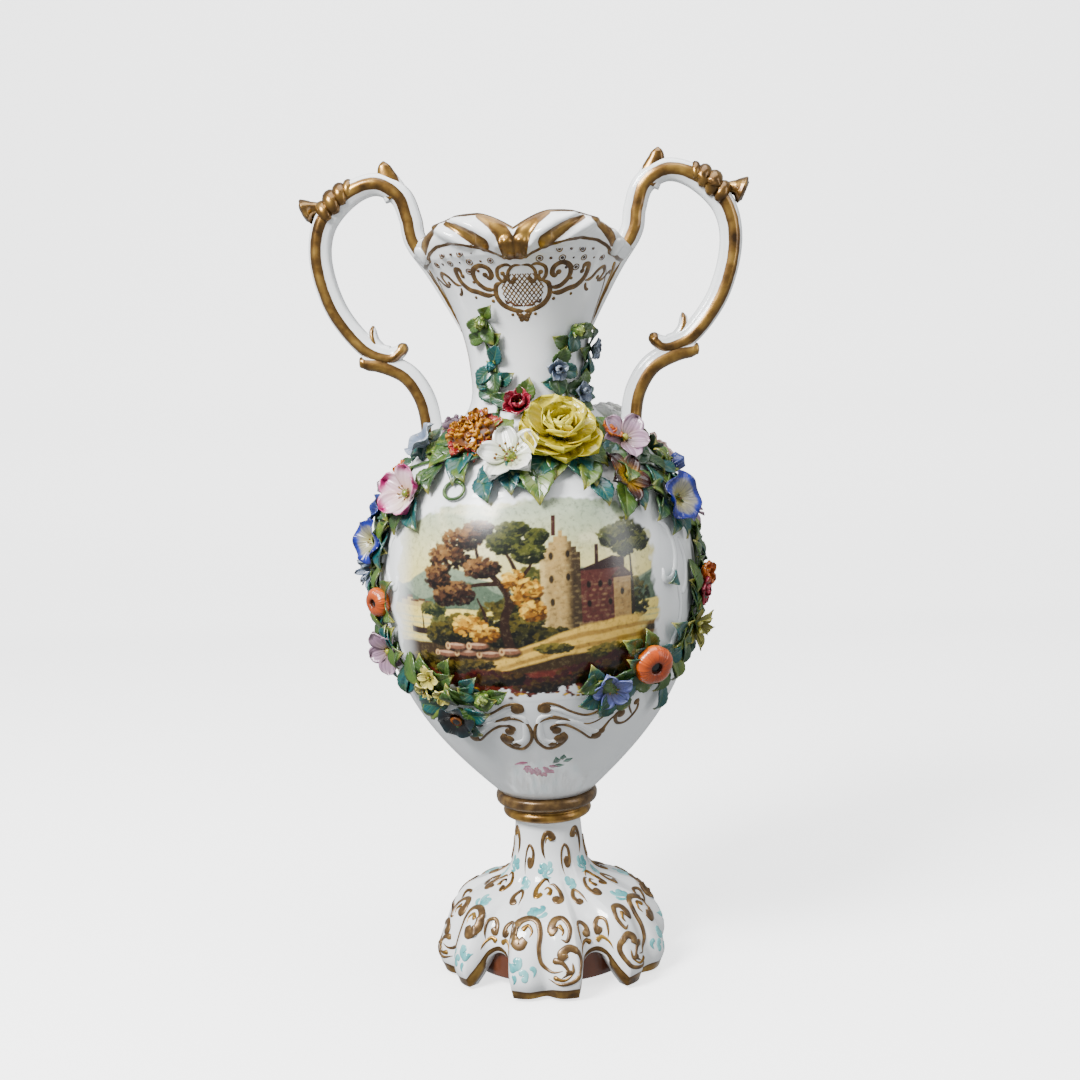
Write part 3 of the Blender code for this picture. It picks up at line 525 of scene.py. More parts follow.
class FootChart:
    """Draws on the foot: places are degrees from the front and millimetres down a lobe."""

    def place(self, degrees, down, lift=0.0):
        return foot_point(np.radians(degrees), np.asarray(down) * MM, lift)

    def around(self, degrees, down, local):
        lower = down - local[:, 1]
        radius = np.interp(lower * MM, FOOT_DOWN, FOOT_LINE[:, 0])
        return np.stack([degrees + np.degrees(local[:, 0] * MM / radius), lower], axis=1)


BODY, FOOT = BodyChart(), FootChart()


# Raised and painted lines
def ribbon(chart, path, widths, height, finish, sunk=0.00012):
    """A raised line with a half round section that follows a path over a surface."""
    path = np.asarray(path, float)
    widths = np.broadcast_to(np.asarray(widths, float) * MM, len(path))
    middle = chart.place(path[:, 0], path[:, 1])
    normal = chart.place(path[:, 0], path[:, 1], np.full(len(path), 0.001)) - middle
    normal /= np.linalg.norm(normal, axis=1)[:, None]
    forward = np.gradient(middle, axis=0)
    forward /= np.maximum(np.linalg.norm(forward, axis=1), 1e-9)[:, None]
    sideways = np.cross(forward, normal)
    sideways /= np.maximum(np.linalg.norm(sideways, axis=1), 1e-9)[:, None]
    turn = np.linspace(0, math.pi, 7)
    rise = np.minimum(height * MM, 0.9 * widths)
    points = (middle[:, None] + sideways[:, None] * (widths[:, None] * np.cos(turn))[..., None]
            + normal[:, None] * (rise[:, None] * np.sin(turn) - sunk)[..., None])
    return capped_rows(points, finish)


def flourish(length, turn, first_curl, sweep, last_curl, count=40):
    """A scroll from its start: it curls in turns at its first end, along its sweep and at its last end."""
    share = np.linspace(0, 1, count)
    heading = math.radians(turn) + 2 * math.pi * (first_curl * (1 - (1 - share) ** 3.2) + sweep * share
            + last_curl * share ** 3.2)
    step = length / (count - 1)
    moves = np.stack([np.cos(heading), np.sin(heading)], axis=1) * step
    return np.concatenate([[(0.0, 0.0)], np.cumsum(moves[:-1], axis=0)])


def comma(length, turn, curl, width, height, chart, place, finish, mirror=1):
    """A comma: a round head that thins along a curling tail."""
    path = flourish(length, turn, curl, 0.1 * math.copysign(1, curl), 0.0, 30)
    path[:, 0] *= mirror
    widths = width * along(30, (0, 0.35), (0.1, 0.95), (0.22, 1.0), (0.55, 0.62), (1.0, 0.06))
    return ribbon(chart, chart.around(*place, path), widths, height, finish)


def line_through(points, width, height, chart, finish, taper=True, steps=6):
    """A line through places on a surface, thinner at its ends."""
    path = rounded_line(points, steps)
    count = len(path)
    widths = width * (along(count, (0, 0.25), (0.12, 0.9), (0.5, 1.0), (0.88, 0.9), (1, 0.25)) if taper
            else np.ones(count))
    return ribbon(chart, path, widths, height, finish)


def knob(chart, place, radius, height, finish):
    """A low round boss on a surface."""
    rows, columns = 7, 20
    level = np.linspace(1.0, 0.06, rows)[:, None]
    turn = round_angles(columns)[None, :]
    local = np.stack([radius * level * np.cos(turn), radius * level * np.sin(turn)], axis=-1).reshape(-1, 2)
    lift = (height * np.sqrt(np.clip(1 - level ** 2, 0, 1)) * MM - 0.0001) * np.ones_like(turn)
    path = chart.around(*place, local)
    return capped_rows(chart.place(path[:, 0], path[:, 1], lift.ravel()).reshape(rows, columns, 3), finish)


# Repeating pieces by geometry nodes
def ring_tree():
    """Repeats a petal, stamen or floret in a ring, each a little different."""
    work = Growth("ring_of_petals", "Flower", Petal=("Geometry", None), Count=("Int", 6), Seed=("Int", 1),
            Radius=("Float", 0.001), Raise=("Float", 0.0), Tilt=("Float", 0.3), Turn=("Float", 0.0),
            Spread=("Float", 0.1), Smallest=("Float", 0.9), Glaze=("Material", None))
    given = work.given
    stand = work.put("ShaderNodeCombineXYZ", {"X": given["Tilt"]})
    place = work.put("ShaderNodeCombineXYZ", {"Y": given["Radius"], "Z": given["Raise"]})
    raised = work.put("GeometryNodeTransform", {"Geometry": given["Petal"], "Rotation": stand, "Translation": place})
    step = work.math("DIVIDE", 2 * math.pi, given["Count"])
    turn = work.math("ADD", work.times(work.put("GeometryNodeInputIndex").outputs[0], step), given["Turn"])
    low, high = work.times(given["Spread"], -1.0), given["Spread"]
    lean = work.put("ShaderNodeCombineXYZ", {
        "X": work.chance(low, high, 3), "Y": work.chance(low, high, 11),
        "Z": work.math("ADD", turn, work.chance(low, high, 23))})
    return work.repeat(Points=work.put("GeometryNodePoints", {"Count": given["Count"]}), Instance=raised,
            Rotation=lean, Scale=work.chance(given["Smallest"], 1.0, 41))


def scatter_tree():
    """Sets a shape on every point of a mesh, standing along the point's own direction."""
    work = Growth("set_on_surface", "Pattern", Places=("Geometry", None), Shape=("Object", None), Seed=("Int", 4),
            Smallest=("Float", 0.8), Glaze=("Material", None))
    source = work.put("GeometryNodeObjectInfo", {"Object": work.given["Shape"]})
    way = work.put("GeometryNodeInputNamedAttribute", {"Name": "outwards"}, data_type="FLOAT_VECTOR")
    stand = work.put("FunctionNodeAlignRotationToVector", {"Vector": way.outputs["Attribute"]}, axis="Z")
    return work.repeat(Points=work.given["Places"], Instance=source.outputs["Geometry"], Rotation=stand,
            Scale=work.chance(work.given["Smallest"], 1.0, 0))


def plain_mesh(shape):
    """A loose mesh from a shape of four-sided faces."""
    mesh = bpy.data.meshes.new("pattern_piece")
    faces = [tuple(face) for block in shape.faces for face in block.tolist()]
    mesh.from_pydata(shape.points.tolist(), [], faces)
    for key, values in shape.marks.items():
        mesh.attributes.new(key, "FLOAT", "POINT").data.foreach_set("value", values)
    return mesh


def grown(tree, mesh, finish, **settings):
    """The result of a node tree on a mesh, as a shape."""
    item = bpy.data.objects.new("growing", mesh)
    bpy.context.scene.collection.objects.link(item)
    modifier = item.modifiers.new("grow", "NODES")
    modifier.node_group = tree
    settings["Glaze"] = finish
    for socket in tree.interface.items_tree:
        if socket.in_out == "INPUT" and socket.name in settings:
            modifier[socket.identifier] = settings[socket.name]
    graph = bpy.context.evaluated_depsgraph_get()
    result = bpy.data.meshes.new_from_object(item.evaluated_get(graph))
    item.modifiers.remove(modifier)
    points = np.empty(3 * len(result.vertices))
    result.vertices.foreach_get("co", points)
    loops = np.empty(len(result.loops), int)
    result.loops.foreach_get("vertex_index", loops)
    marks = {}
    for key in ("reach", "aside", "tint"):
        if key in result.attributes:
            values = np.empty(len(result.vertices))
            result.attributes[key].data.foreach_get("value", values)
            marks[key] = values
    bpy.data.objects.remove(item, do_unlink=True)
    bpy.data.meshes.remove(result)
    return Shape(points.reshape(-1, 3), loops.reshape(-1, 4), finish, marks)


RING_OF_PETALS = ring_tree()
SET_ON_SURFACE = scatter_tree()


def petal(length, width, cup=0.3, curl=0.0, hollow=0.25, ruffle=0.0, waves=2.5, blunt=5.0,
        point=0.0, notch=0.0, thick=0.55, rows=9, columns=7):
    """A petal from its foot outwards: it rises by its cup, rolls back by its curl, and its sides lift."""
    t = np.linspace(0, 1, rows)[:, None]
    u = np.linspace(-1, 1, columns)[None, :]
    end = (1 - t ** blunt) ** 0.5
    half = 0.5 * width * (0.35 + 0.65 * np.sin(0.5 * math.pi * np.minimum(1, t / 0.62))) * end
    x = half * u
    y = length * (t - notch * (1 - np.abs(u)) * t ** 6 + point * (1 - np.abs(u)) * t ** 4 * 0.35)
    bow = np.sin(0.5 * math.pi * t)
    z = length * (cup * t ** 1.6 - curl * t ** 4) + hollow * width * 0.5 * u ** 2 * bow
    z = z + ruffle * width * 0.2 * np.sin(waves * math.pi * u + 2.0 * t) * t ** 2
    top = np.stack(np.broadcast_arrays(x, y, z), axis=-1) * MM
    marks = {"reach": np.broadcast_to(t, (rows, columns)).copy(),
            "aside": np.broadcast_to(np.abs(u), (rows, columns)).copy()}
    return leafed(top, np.array([0.0, 0.0, thick * MM]), None, marks)


def stamen(length, thick=0.28, head=0.7):
    """A filament that ends in its anther, pointing along Y; reach is above one half on the anther."""
    level = np.array([0.0, 0.45, 0.76, 0.8, 0.9, 1.0])
    width = np.array([thick, 0.8 * thick, 0.8 * thick, head, head, 0.25 * head])
    turn = round_angles(6)
    points = np.stack(np.broadcast_arrays(width[:, None] * np.cos(turn), (length * level)[:, None],
            width[:, None] * np.sin(turn)), axis=-1) * MM
    return Shape(points, grid_faces(6, 6)[:, ::-1], None,
            {"reach": np.repeat(level, 6), "aside": np.zeros(36)})


def petals(shape, finish, count, radius=0.4, tilt=20.0, raised=0.0, turn=0.0, spread=0.07, smallest=0.92, seed=1):
    return grown(RING_OF_PETALS, plain_mesh(shape), finish, Count=count, Seed=seed, Radius=radius * MM,
            Raise=raised * MM, Tilt=math.radians(tilt), Turn=math.radians(turn), Spread=spread,
            Smallest=smallest)


def button(radius, height, finish, raised=0.0, level_mark=None):
    """A low dome."""
    level = np.linspace(1.0, 0.05, 7)[:, None]
    turn = round_angles(18)[None, :]
    z = raised + height * np.sqrt(np.clip(1 - level ** 2, 0, 1))
    points = np.stack(np.broadcast_arrays(radius * level * np.cos(turn), radius * level * np.sin(turn), z),
            axis=-1) * MM
    reach = np.broadcast_to(level if level_mark is None else np.full_like(level, level_mark), (7, 18))
    return capped_rows(points, finish, {"reach": reach.copy(), "aside": np.zeros((7, 18))})


def tube(points, radii, finish, sides=8, marks=None):
    """A round stem along a line of points."""
    points = np.asarray(points, float)
    radii = np.broadcast_to(np.asarray(radii, float), len(points))
    forward = np.gradient(points, axis=0)
    forward /= np.maximum(np.linalg.norm(forward, axis=1), 1e-9)[:, None]
    helper = np.array([0.31, 0.17, 0.93])
    side = np.cross(forward, helper)
    side /= np.maximum(np.linalg.norm(side, axis=1), 1e-9)[:, None]
    other = np.cross(forward, side)
    turn = round_angles(sides)
    rings = (points[:, None] + side[:, None] * (radii[:, None] * np.cos(turn))[..., None]
            + other[:, None] * (radii[:, None] * np.sin(turn))[..., None])
    count = len(points)
    base = {"reach": np.repeat(np.linspace(0.1, 0.5, count), sides).reshape(count, sides),
            "aside": np.full((count, sides), 0.5)}
    base.update({key: np.broadcast_to(np.asarray(value, float), (count, sides)).copy()
            for key, value in (marks or {}).items()})
    return capped_rows(rings, finish, base)


# Finishes in use
WHITE = make_porcelain()
GOLD = make_gilding()
BROWN_GOLD = make_dark_gilding()
PART_GILT = make_gilded_porcelain()
LEAF = make_leaf_glaze()
PICTURE = make_picture_glaze()
TURQUOISE = make_enamel("turquoise_enamel", (0.3, 0.6, 0.6), (0.09, 0.36, 0.38))
PINK_ENAMEL = make_enamel("pink_enamel", (0.56, 0.2, 0.32), (0.3, 0.06, 0.14))
GREEN_ENAMEL = make_enamel("green_enamel", (0.07, 0.22, 0.15), (0.012, 0.06, 0.045))
UMBER = make_enamel("umber_line", (0.16, 0.075, 0.025), (0.05, 0.022, 0.01))
# Reddish dark finish of the foot's inside and of a ring behind the notches: partly the foot's own warm tone, partly
# painted shade of the hollow.
HOLLOW_TONE_AND_SHADE = make_enamel("unglazed_hollow", (0.2, 0.075, 0.035), (0.09, 0.03, 0.015), 60.0)

# Glaze, colours of heart, body and edge, depth of the veins, and where the colours meet if not as usual
PETALS = {}
for row in """yellow  .2 .16 .008  .62 .52 .026  .74 .68 .13  .2
amber  .12 .034 .004  .46 .195 .012  .6 .34 .03  .3
rust  .08 .008 .01  .38 .03 .034  .5 .11 .08  .3
white  .4 .46 .16  .78 .79 .74  .84 .84 .82  .1
crimson  .06 .004 .01  .3 .018 .045  .52 .1 .16  .3
orange  .05 .008 .004  .58 .135 .012  .68 .27 .03  .3
lilac  .24 .19 .1  .44 .3 .4  .58 .46 .52  .3
blue  .72 .66 .22  .035 .07 .42  .014 .026 .22  .2 .66 .8
violet  .24 .22 .24  .19 .22 .5  .36 .4 .64  .35
navy  .02 .03 .12  .018 .034 .18  .07 .11 .32  .3
blush  .62 .52 .34  .78 .66 .69  .52 .06 .26  .12 .24 .66
pansy  .66 .46 .05  .11 .03 .012  .03 .007 .01  .3 .4 .66
olive  .1 .1 .02  .34 .33 .08  .56 .54 .22  .3
slate  .1 .12 .16  .21 .26 .35  .4 .44 .5  .35
dark  .2 .07 .02  .006 .008 .012  .01 .05 .06  .2
primrose  .3 .26 .04  .64 .58 .17  .74 .7 .34  .15
peach  .42 .16 .1  .74 .46 .38  .8 .64 .58  .18
green  .05 .09 .02  .13 .21 .045  .36 .42 .14  .3
teal  .02 .06 .05  .012 .14 .15  .1 .32 .34  .3""".splitlines():
    name, *row = row.split()
    row = tuple(map(float, row))
    PETALS[name] = make_petal_glaze(name + ("_bud_glaze" if name in ("green", "teal") else "_petal_glaze"),
            row[:3], row[3:6], row[6:9], row[9], row[10:] or (0.22, 0.62))
STAMEN = make_petal_glaze("stamen_glaze", (0.24, 0.3, 0.05), (0.52, 0.5, 0.09), (0.22, 0.085, 0.018), 0.0,
        split=(0.3, 0.62))
# A near black heart for roses, cupped and small blooms, bells and globes: painted shade deep among the petals.
SHADED_HEART = make_petal_glaze("dark_heart_glaze", (0.006, 0.004, 0.004), (0.012, 0.006, 0.005), (0.05, 0.018, 0.01), 0.0)
TUBE_HEART = make_petal_glaze("brown_tube_glaze", (0.03, 0.01, 0.005), (0.42, 0.17, 0.03), (0.55, 0.28, 0.07), 0.0)


# Body, neck and lip
def from_front(angle):
    """Degrees from the nearer of front and back, 0 to 90."""
    turn = np.abs((np.degrees(angle) + 180.0) % 360.0 - 180.0)
    return np.minimum(turn, 180.0 - turn)


def lip_rise(away):
    lobe = 0.5 - 0.5 * np.cos(math.pi * np.minimum(1.0, (90.0 - away) / 66.0))
    cusp = np.maximum(0.0, 1.0 - away / 19.0) ** 1.5
    return LIP_LOBE_RISE * lobe - LIP_CUSP_DROP * cusp


def lip_sections(away):
    """The lip from the rim up, over and into the neck: (radius, height) at degrees from the front or back."""
    rise = lip_rise(away)
    count = len(away)
    bulge = LIP_BULGE * (0.35 + 0.65 * rise / LIP_LOBE_RISE)
    low = RIM_HEIGHT + 0.36 * LIP_EDGE + 0.2 * rise
    crest = RIM_HEIGHT + LIP_EDGE + rise
    sections = np.stack([
        np.stack([np.full(count, RIM_RADIUS), np.full(count, RIM_HEIGHT)]),
        np.stack([RIM_RADIUS + 0.45 * bulge, low]),
        np.stack([RIM_RADIUS + bulge, 0.55 * low + 0.45 * crest]),
        np.stack([RIM_RADIUS + 0.7 * bulge, 0.15 * low + 0.85 * crest]),
        np.stack([RIM_RADIUS - 0.25 * bulge, crest]),
        np.stack([np.full(count, RIM_RADIUS - BODY_WALL), RIM_HEIGHT - 0.45 * LIP_EDGE + 0.78 * rise]),
        np.stack([np.full(count, RIM_RADIUS - 1.5 * BODY_WALL), RIM_HEIGHT - 0.002 + 0.3 * rise])])
    return rounded_line(sections.reshape(7, -1), 9).reshape(-1, 2, count)


def lip_skirt(away):
    """Height above the rim, in millimetres, of the lip's scalloped lower edge."""
    return np.interp(away, (0, 6, 9, 16, 26, 34, 44, 52, 60, 72, 90),
            (-2.0, -2.0, -0.5, 2.0, 4.0, 5.0, 4.2, 2.0, -1.2, -3.0, -4.0))


class LipChart:
    """Draws on the neck's flare and on the lip's outside: places are degrees and millimetres above the rim."""

    def place(self, degrees, height, lift=0.0):
        degrees, height, lift = (np.atleast_1d(np.asarray(part, float))
                for part in np.broadcast_arrays(degrees, height, lift))
        away = from_front(np.radians(degrees))
        z = RIM_HEIGHT + height * MM
        lip = lip_sections(away)[:38]
        radius = np.array([np.interp(level, lip[:, 1, index], lip[:, 0, index]) for index, level in enumerate(z)])
        above = turned(np.radians(degrees), radius + lift, z)
        return np.where((z > RIM_HEIGHT)[:, None], above, body_point(np.radians(degrees), length_at(z), lift))

    def around(self, degrees, height, local):
        return np.stack([degrees + local[:, 0] / 0.8, height + local[:, 1]], axis=1)


LIP = LipChart()


def knuckle(place, forward, side, size, reach, slant):
    """A gilt leaf lobe that wraps the strap from one face over its outer edge to the other."""
    across = np.array([forward[1], -forward[0]])
    turn = np.linspace(math.radians(68 - reach), math.radians(292 + reach), 21)
    fullness = np.sin(np.linspace(0.16, math.pi - 0.16, 21)) ** 0.45
    u, w = np.cos(turn), np.sin(turn)
    path = [(side * (place[0] + across[0] * a * STRAP_HALF + forward[0] * slant * (a + 1)), b * STRAP_DEEP,
            place[1] + across[1] * a * STRAP_HALF + forward[1] * slant * (a + 1)) for a, b in zip(u * 0.94, w * 0.94)]
    return tube(path, size * fullness * (0.85 + 0.25 * np.abs(w)), PART_GILT, 12,
            {"gilding": np.broadcast_to(0.85 + 0.35 * np.cos(np.linspace(0, 4 * math.pi, 12, endpoint=False)),
            (21, 12))})


def stroke_distance(x, y, path, halves):
    """Half width less distance to a path: above nought inside the stroke."""
    best = np.full(np.shape(x), -9.0)
    for (ax, ay), (bx, by), start, end in zip(path, path[1:], halves, halves[1:]):
        dx, dy = bx - ax, by - ay
        share = np.clip(((x - ax) * dx + (y - ay) * dy) / (dx * dx + dy * dy), 0.0, 1.0)
        away = np.hypot(x - ax - share * dx, y - ay - share * dy)
        best = np.maximum(best, start + (end - start) * share - away)
    return best


def lip_pattern(away, height):
    """Gilding mark and relief of the lip, in millimetres, at degrees from front and millimetres above the rim."""
    x = away * 0.84 + 0 * height
    y = height + 0 * away
    crest = (LIP_EDGE + lip_rise(away)) / MM

    def stroke(places, halves):
        return stroke_distance(x, y, [(a * 0.84, v) for a, v in places], halves)

    roll = stroke(table("17.5 15.4, 10 12, 5.4 8.4, 3.2 4.4, 3 .4"), [0.6, 2.0, 2.9, 3.4, 3.0])
    band = stroke(table("35.5 13.6, 27 10.8, 20 7, 15 3.9"), [0.7, 1.7, 2.5, 2.7])
    patch = stroke(table("40.5 12.4, 46 10.6, 51.5 7.4, 56 3.4"), [1.2, 2.4, 2.8, 1.6])
    # A dark gilt line along the lip's lower edge: partly a gilt outline, partly painted shade under the lip's relief.
    skirt_outline_and_shade = 0.46 - np.abs(y - lip_skirt(away) - 0.2)
    rim = 0.6 - np.abs(y - crest + 0.35)
    gild = np.maximum.reduce([roll, band, patch, skirt_outline_and_shade, rim])
    upper = stroke(table("30 15, 20 11.6, 12 6.6, 8.4 2.6"), [2.0, 2.4, 2.4, 1.6])
    lower = stroke(table("44 13.4, 36 9.8, 29 6, 23 3.4"), [1.8, 2.4, 2.2, 1.4])
    outer = stroke([(60.0, 5.6), (57.0, 8.4)], [1.2, 1.0])
    ends = np.maximum(stroke([(3.6, 3.6), (3.0, 0.6)], [3.2, 2.8]), stroke([(17.0, 5.0), (15.0, 3.9)], [2.3, 2.6]))
    relief = (0.7 * soft_step(y - lip_skirt(away), -0.5, 0.7) + 2.3 * soft_step(np.maximum(upper, lower), -1.6, 2.2)
            + 1.3 * soft_step(outer, -1.0, 1.4) + 2.3 * soft_step(ends, -0.8, 2.6)
            - 0.5 * soft_step(np.maximum(roll, band), -0.6, 1.5))
    return gild, relief


def make_body():
    columns = 480
    angles = round_angles(columns)
    lengths = np.concatenate([np.linspace(0, length_at(RIM_HEIGHT - 0.016), 66, endpoint=False),
            np.linspace(length_at(RIM_HEIGHT - 0.016), TOTAL, 26)])
    outer = body_point(angles[None, :], lengths[:, None])
    away = from_front(angles)
    lip = lip_sections(away)
    gild, relief = lip_pattern(away[None, :], (lip[:, 1] - RIM_HEIGHT) / MM)
    section = np.linspace(0, 6, len(lip))[:, None]
    gild = np.where(section < 4.6, gild, -9.0)
    lip[:, 0] += relief * MM * np.clip(4.4 - section, 0, 1)
    heights = np.interp(lengths, LENGTHS, OUTLINE[:, 1])
    gild_below, relief_below = lip_pattern(away[None, :], (heights[:, None] - RIM_HEIGHT) / MM)
    gild_below = np.where(heights[:, None] > RIM_HEIGHT - 0.008, gild_below, -9.0)
    outer = outer + turned(angles[None, :], 1.0, 0.0) * (relief_below * MM)[..., None]
    inside_lengths = np.linspace(length_at(RIM_HEIGHT - 0.004), length_at(FLOOR_HEIGHT), 36)
    inner = body_point(angles[None, :], inside_lengths[:, None], -BODY_WALL)
    rows = np.concatenate([outer, turned(angles[None, :], lip[1:, 0], lip[1:, 1]), inner])
    marks = np.concatenate([gild_below, gild[1:], np.full((len(inner), columns), -9.0)])
    return gathered("baluster_body", [capped_rows(rows, PART_GILT, {"gilding": np.clip(marks, -2, 2)})],
            "vase_body")


def make_volutes():
    """The small white roll at each end of the lip's gilding, and the dark gold line down the neck's side."""
    shapes = []
    for side in (-1, 1):
        for back in (0, 180):
            centre = back + side * 61.5
            turn = np.linspace(0, 2 * math.pi, 36)
            shapes.append(knob(LIP, (centre, 2.6), 4.3, 2.6, WHITE))
            ring = np.stack([5.0 * np.cos(turn) - 0.4 * side, 3.7 * np.sin(turn) + 0.7 * side * np.cos(turn)], axis=1)
            shapes.append(ribbon(LIP, LIP.around(centre, 2.6, ring), 0.46, 0.9, BROWN_GOLD))
            curl = flourish(8.0, 60, 0.55 * side, 0.25 * side, 0.0, 26) + np.array([0.0, -1.4])
            path = LIP.around(centre, 2.6, curl * 0.6)
            shapes.append(ribbon(LIP, path, 0.26, 2.9, BROWN_GOLD))
        for back in (0, 180):
            line = mirrored(table("66 310, 74 304, 79 297, 80 288, 79 276, 78 264"), back, side)
            shapes.append(line_through(line, 0.62, 0.3, BODY, BROWN_GOLD))
            sweep = mirrored(table("70 313, 77 310, 83 305, 87 299"), back, side)
            shapes.append(line_through(sweep, 1.7, 0.5, BODY, GOLD))
    return gathered("lip_volutes", shapes)


# Neck: dotted ground and its scroll border
def make_dotted_ground():
    """Rows of dark dots in gold rings, with small dots between, on the flare under the lip."""
    chance = np.random.default_rng(5)
    ring = tube(np.array([(1.45 * math.cos(a), 1.45 * math.sin(a), 0.0)
            for a in np.linspace(0, 2 * math.pi, 15)]) * MM, 0.3 * MM, None, 4)
    ring.faces = ring.faces[:1]
    turn = round_angles(8)
    dot_rows = np.stack([np.stack([r * np.cos(turn), r * np.sin(turn), np.full(8, z)], axis=1)
            for r, z in table(".86 -.1, .8 .14, .46 .22, .02 .24")]) * MM
    dot = Shape(dot_rows, grid_faces(4, 8), None)
    places = {True: ([], []), False: ([], [])}
    for row, height in enumerate((-9.9, -6.2, -2.5, 1.1, 4.4)):
        for step in range(54):
            degrees = 360.0 * (step + 0.5 * (row % 2)) / 54 + chance.uniform(-0.5, 0.5)
            away = float(from_front(math.radians(degrees)))
            nearer = 180.0 if abs((degrees + 180) % 360 - 180) > 90 else 0.0
            off = abs((degrees - nearer - 3 + 180) % 360 - 180)
            border = np.interp(off, (0, 12, 15, 24, 30, 36, 42, 56, 70),
                    (-3.6, -3.6, -4.0, -4.6, -8.4, -8.4, -3.0, -5.0, -3.6))
            if away > 76 or not border < height < lip_skirt(away) - 1.6:
                continue
            spots, directions = places[(step + row) % 2 == 0]
            middle = LIP.place(degrees, height)[0]
            spots.append(tuple(middle))
            directions.append((LIP.place(degrees, height, 0.001)[0] - middle) / 0.001)
    shapes = []
    for big, pattern, finish, least in ((True, ring, BROWN_GOLD, 0.85), (True, dot, UMBER, 0.8),
            (False, dot, UMBER, 0.55)):
        mesh = bpy.data.meshes.new("dot_places")
        mesh.from_pydata(places[big][0], [], [])
        mark = mesh.attributes.new("outwards", "FLOAT_VECTOR", "POINT")
        mark.data.foreach_set("vector", np.array(places[big][1]).ravel())
        source = bpy.data.objects.new("dot_shape", plain_mesh(pattern))
        bpy.context.scene.collection.objects.link(source)
        shapes.append(grown(SET_ON_SURFACE, mesh, finish, Shape=source, Smallest=least, Seed=3))
        bpy.data.objects.remove(source, do_unlink=True)
    return gathered("dotted_ground", shapes)


def mirrored(points, centre, mirror):
    return [(centre + mirror * degrees, height) for degrees, height in points]


def neck_border(centre):
    """Scrolls along the lower edge of the dots, with a latticed cartouche in the middle."""
    shapes = []
    for mirror in (-1, 1):
        inner = table("5 311.6, 9 312.6, 14 311.2, 15 308, 12.5 306, 10.5 307.6, 11.6 309.2")
        side = table("12.5 306, 17.5 304.5, 19 300.5, 16 297, 10.5 295, 4 293.8, 0 293.8")
        rim = table("0 312.2, 4.5 312, 8 309.8, 8.6 306.6, 6.6 305.2, 5 306.8")
        low = table("13.5 299, 12 297.2, 9.6 297.6, 6 296.2, 0 296")
        drop = table("6.5 293.8, 4 292, 1.8 292.2, .6 290.6, 2.4 289.8, 3.3 291.2")
        swirl = table("""18 303.4, 22.5 303, 27 304, 31 307.2, 30 311, 24.5 312.8, 19.8 311.4, 18.8 308.8,
            21 307.6, 23 309""")
        band = table("19.5 301, 26 300.8, 33 302.4, 39 303.6, 43.5 307, 43 311.4, 39.8 311.8, 39.6 309.2")
        hook = table("45 305.4, 50 306.4, 53.5 309.6, 57.5 311, 61.5 309, 59.8 305.8, 56.6 306.8")
        outer = table("60 305.2, 65 306.4, 69 309.4, 72 308")
        tip = table("46 304.6, 48.6 302.2, 52 301.6")
        for points, width in ((inner, 0.95), (side, 1.3), (rim, 0.85), (low, 0.6), (drop, 0.8), (swirl, 1.35),
                (band, 1.5), (hook, 1.2), (tip, 0.9), (outer, 1.0)):
            shapes.append(line_through(mirrored(points, centre, mirror), width, 0.34, BODY,
                    UMBER if points is low else BROWN_GOLD))
        ends = [(*points[-1], size) for points, size in ((inner, 1.2), (rim, 1.0), (swirl, 1.4), (band, 1.3),
                (hook, 1.2), (drop, 0.9))]
        for degrees, height, size in ends + table("9 292.4 .8, 22.5 298.4 .9, 36 300.2 .8, 33 306.4 .8"):
            shapes.append(knob(BODY, (centre + mirror * degrees, height), size, 0.4, BROWN_GOLD))
    for step in range(-5, 6):
        for slant in (-1, 1):
            line = []
            for height in np.linspace(295.6, 308.8, 8):
                degrees = step * 3.1 + slant * (height - 302.2) * 1.35
                limit = 15.5 * math.sqrt(max(0.0, 1 - ((height - 301.4) / 8.2) ** 2))
                if abs(degrees) < limit:
                    line.append((centre + degrees, height))
            if len(line) > 1:
                shapes.append(line_through(line, 0.36, 0.22, BODY, BROWN_GOLD, False, 2))
    return shapes


def make_neck_border():
    return gathered("neck_scroll_border", neck_border(3.0) + neck_border(183.0))


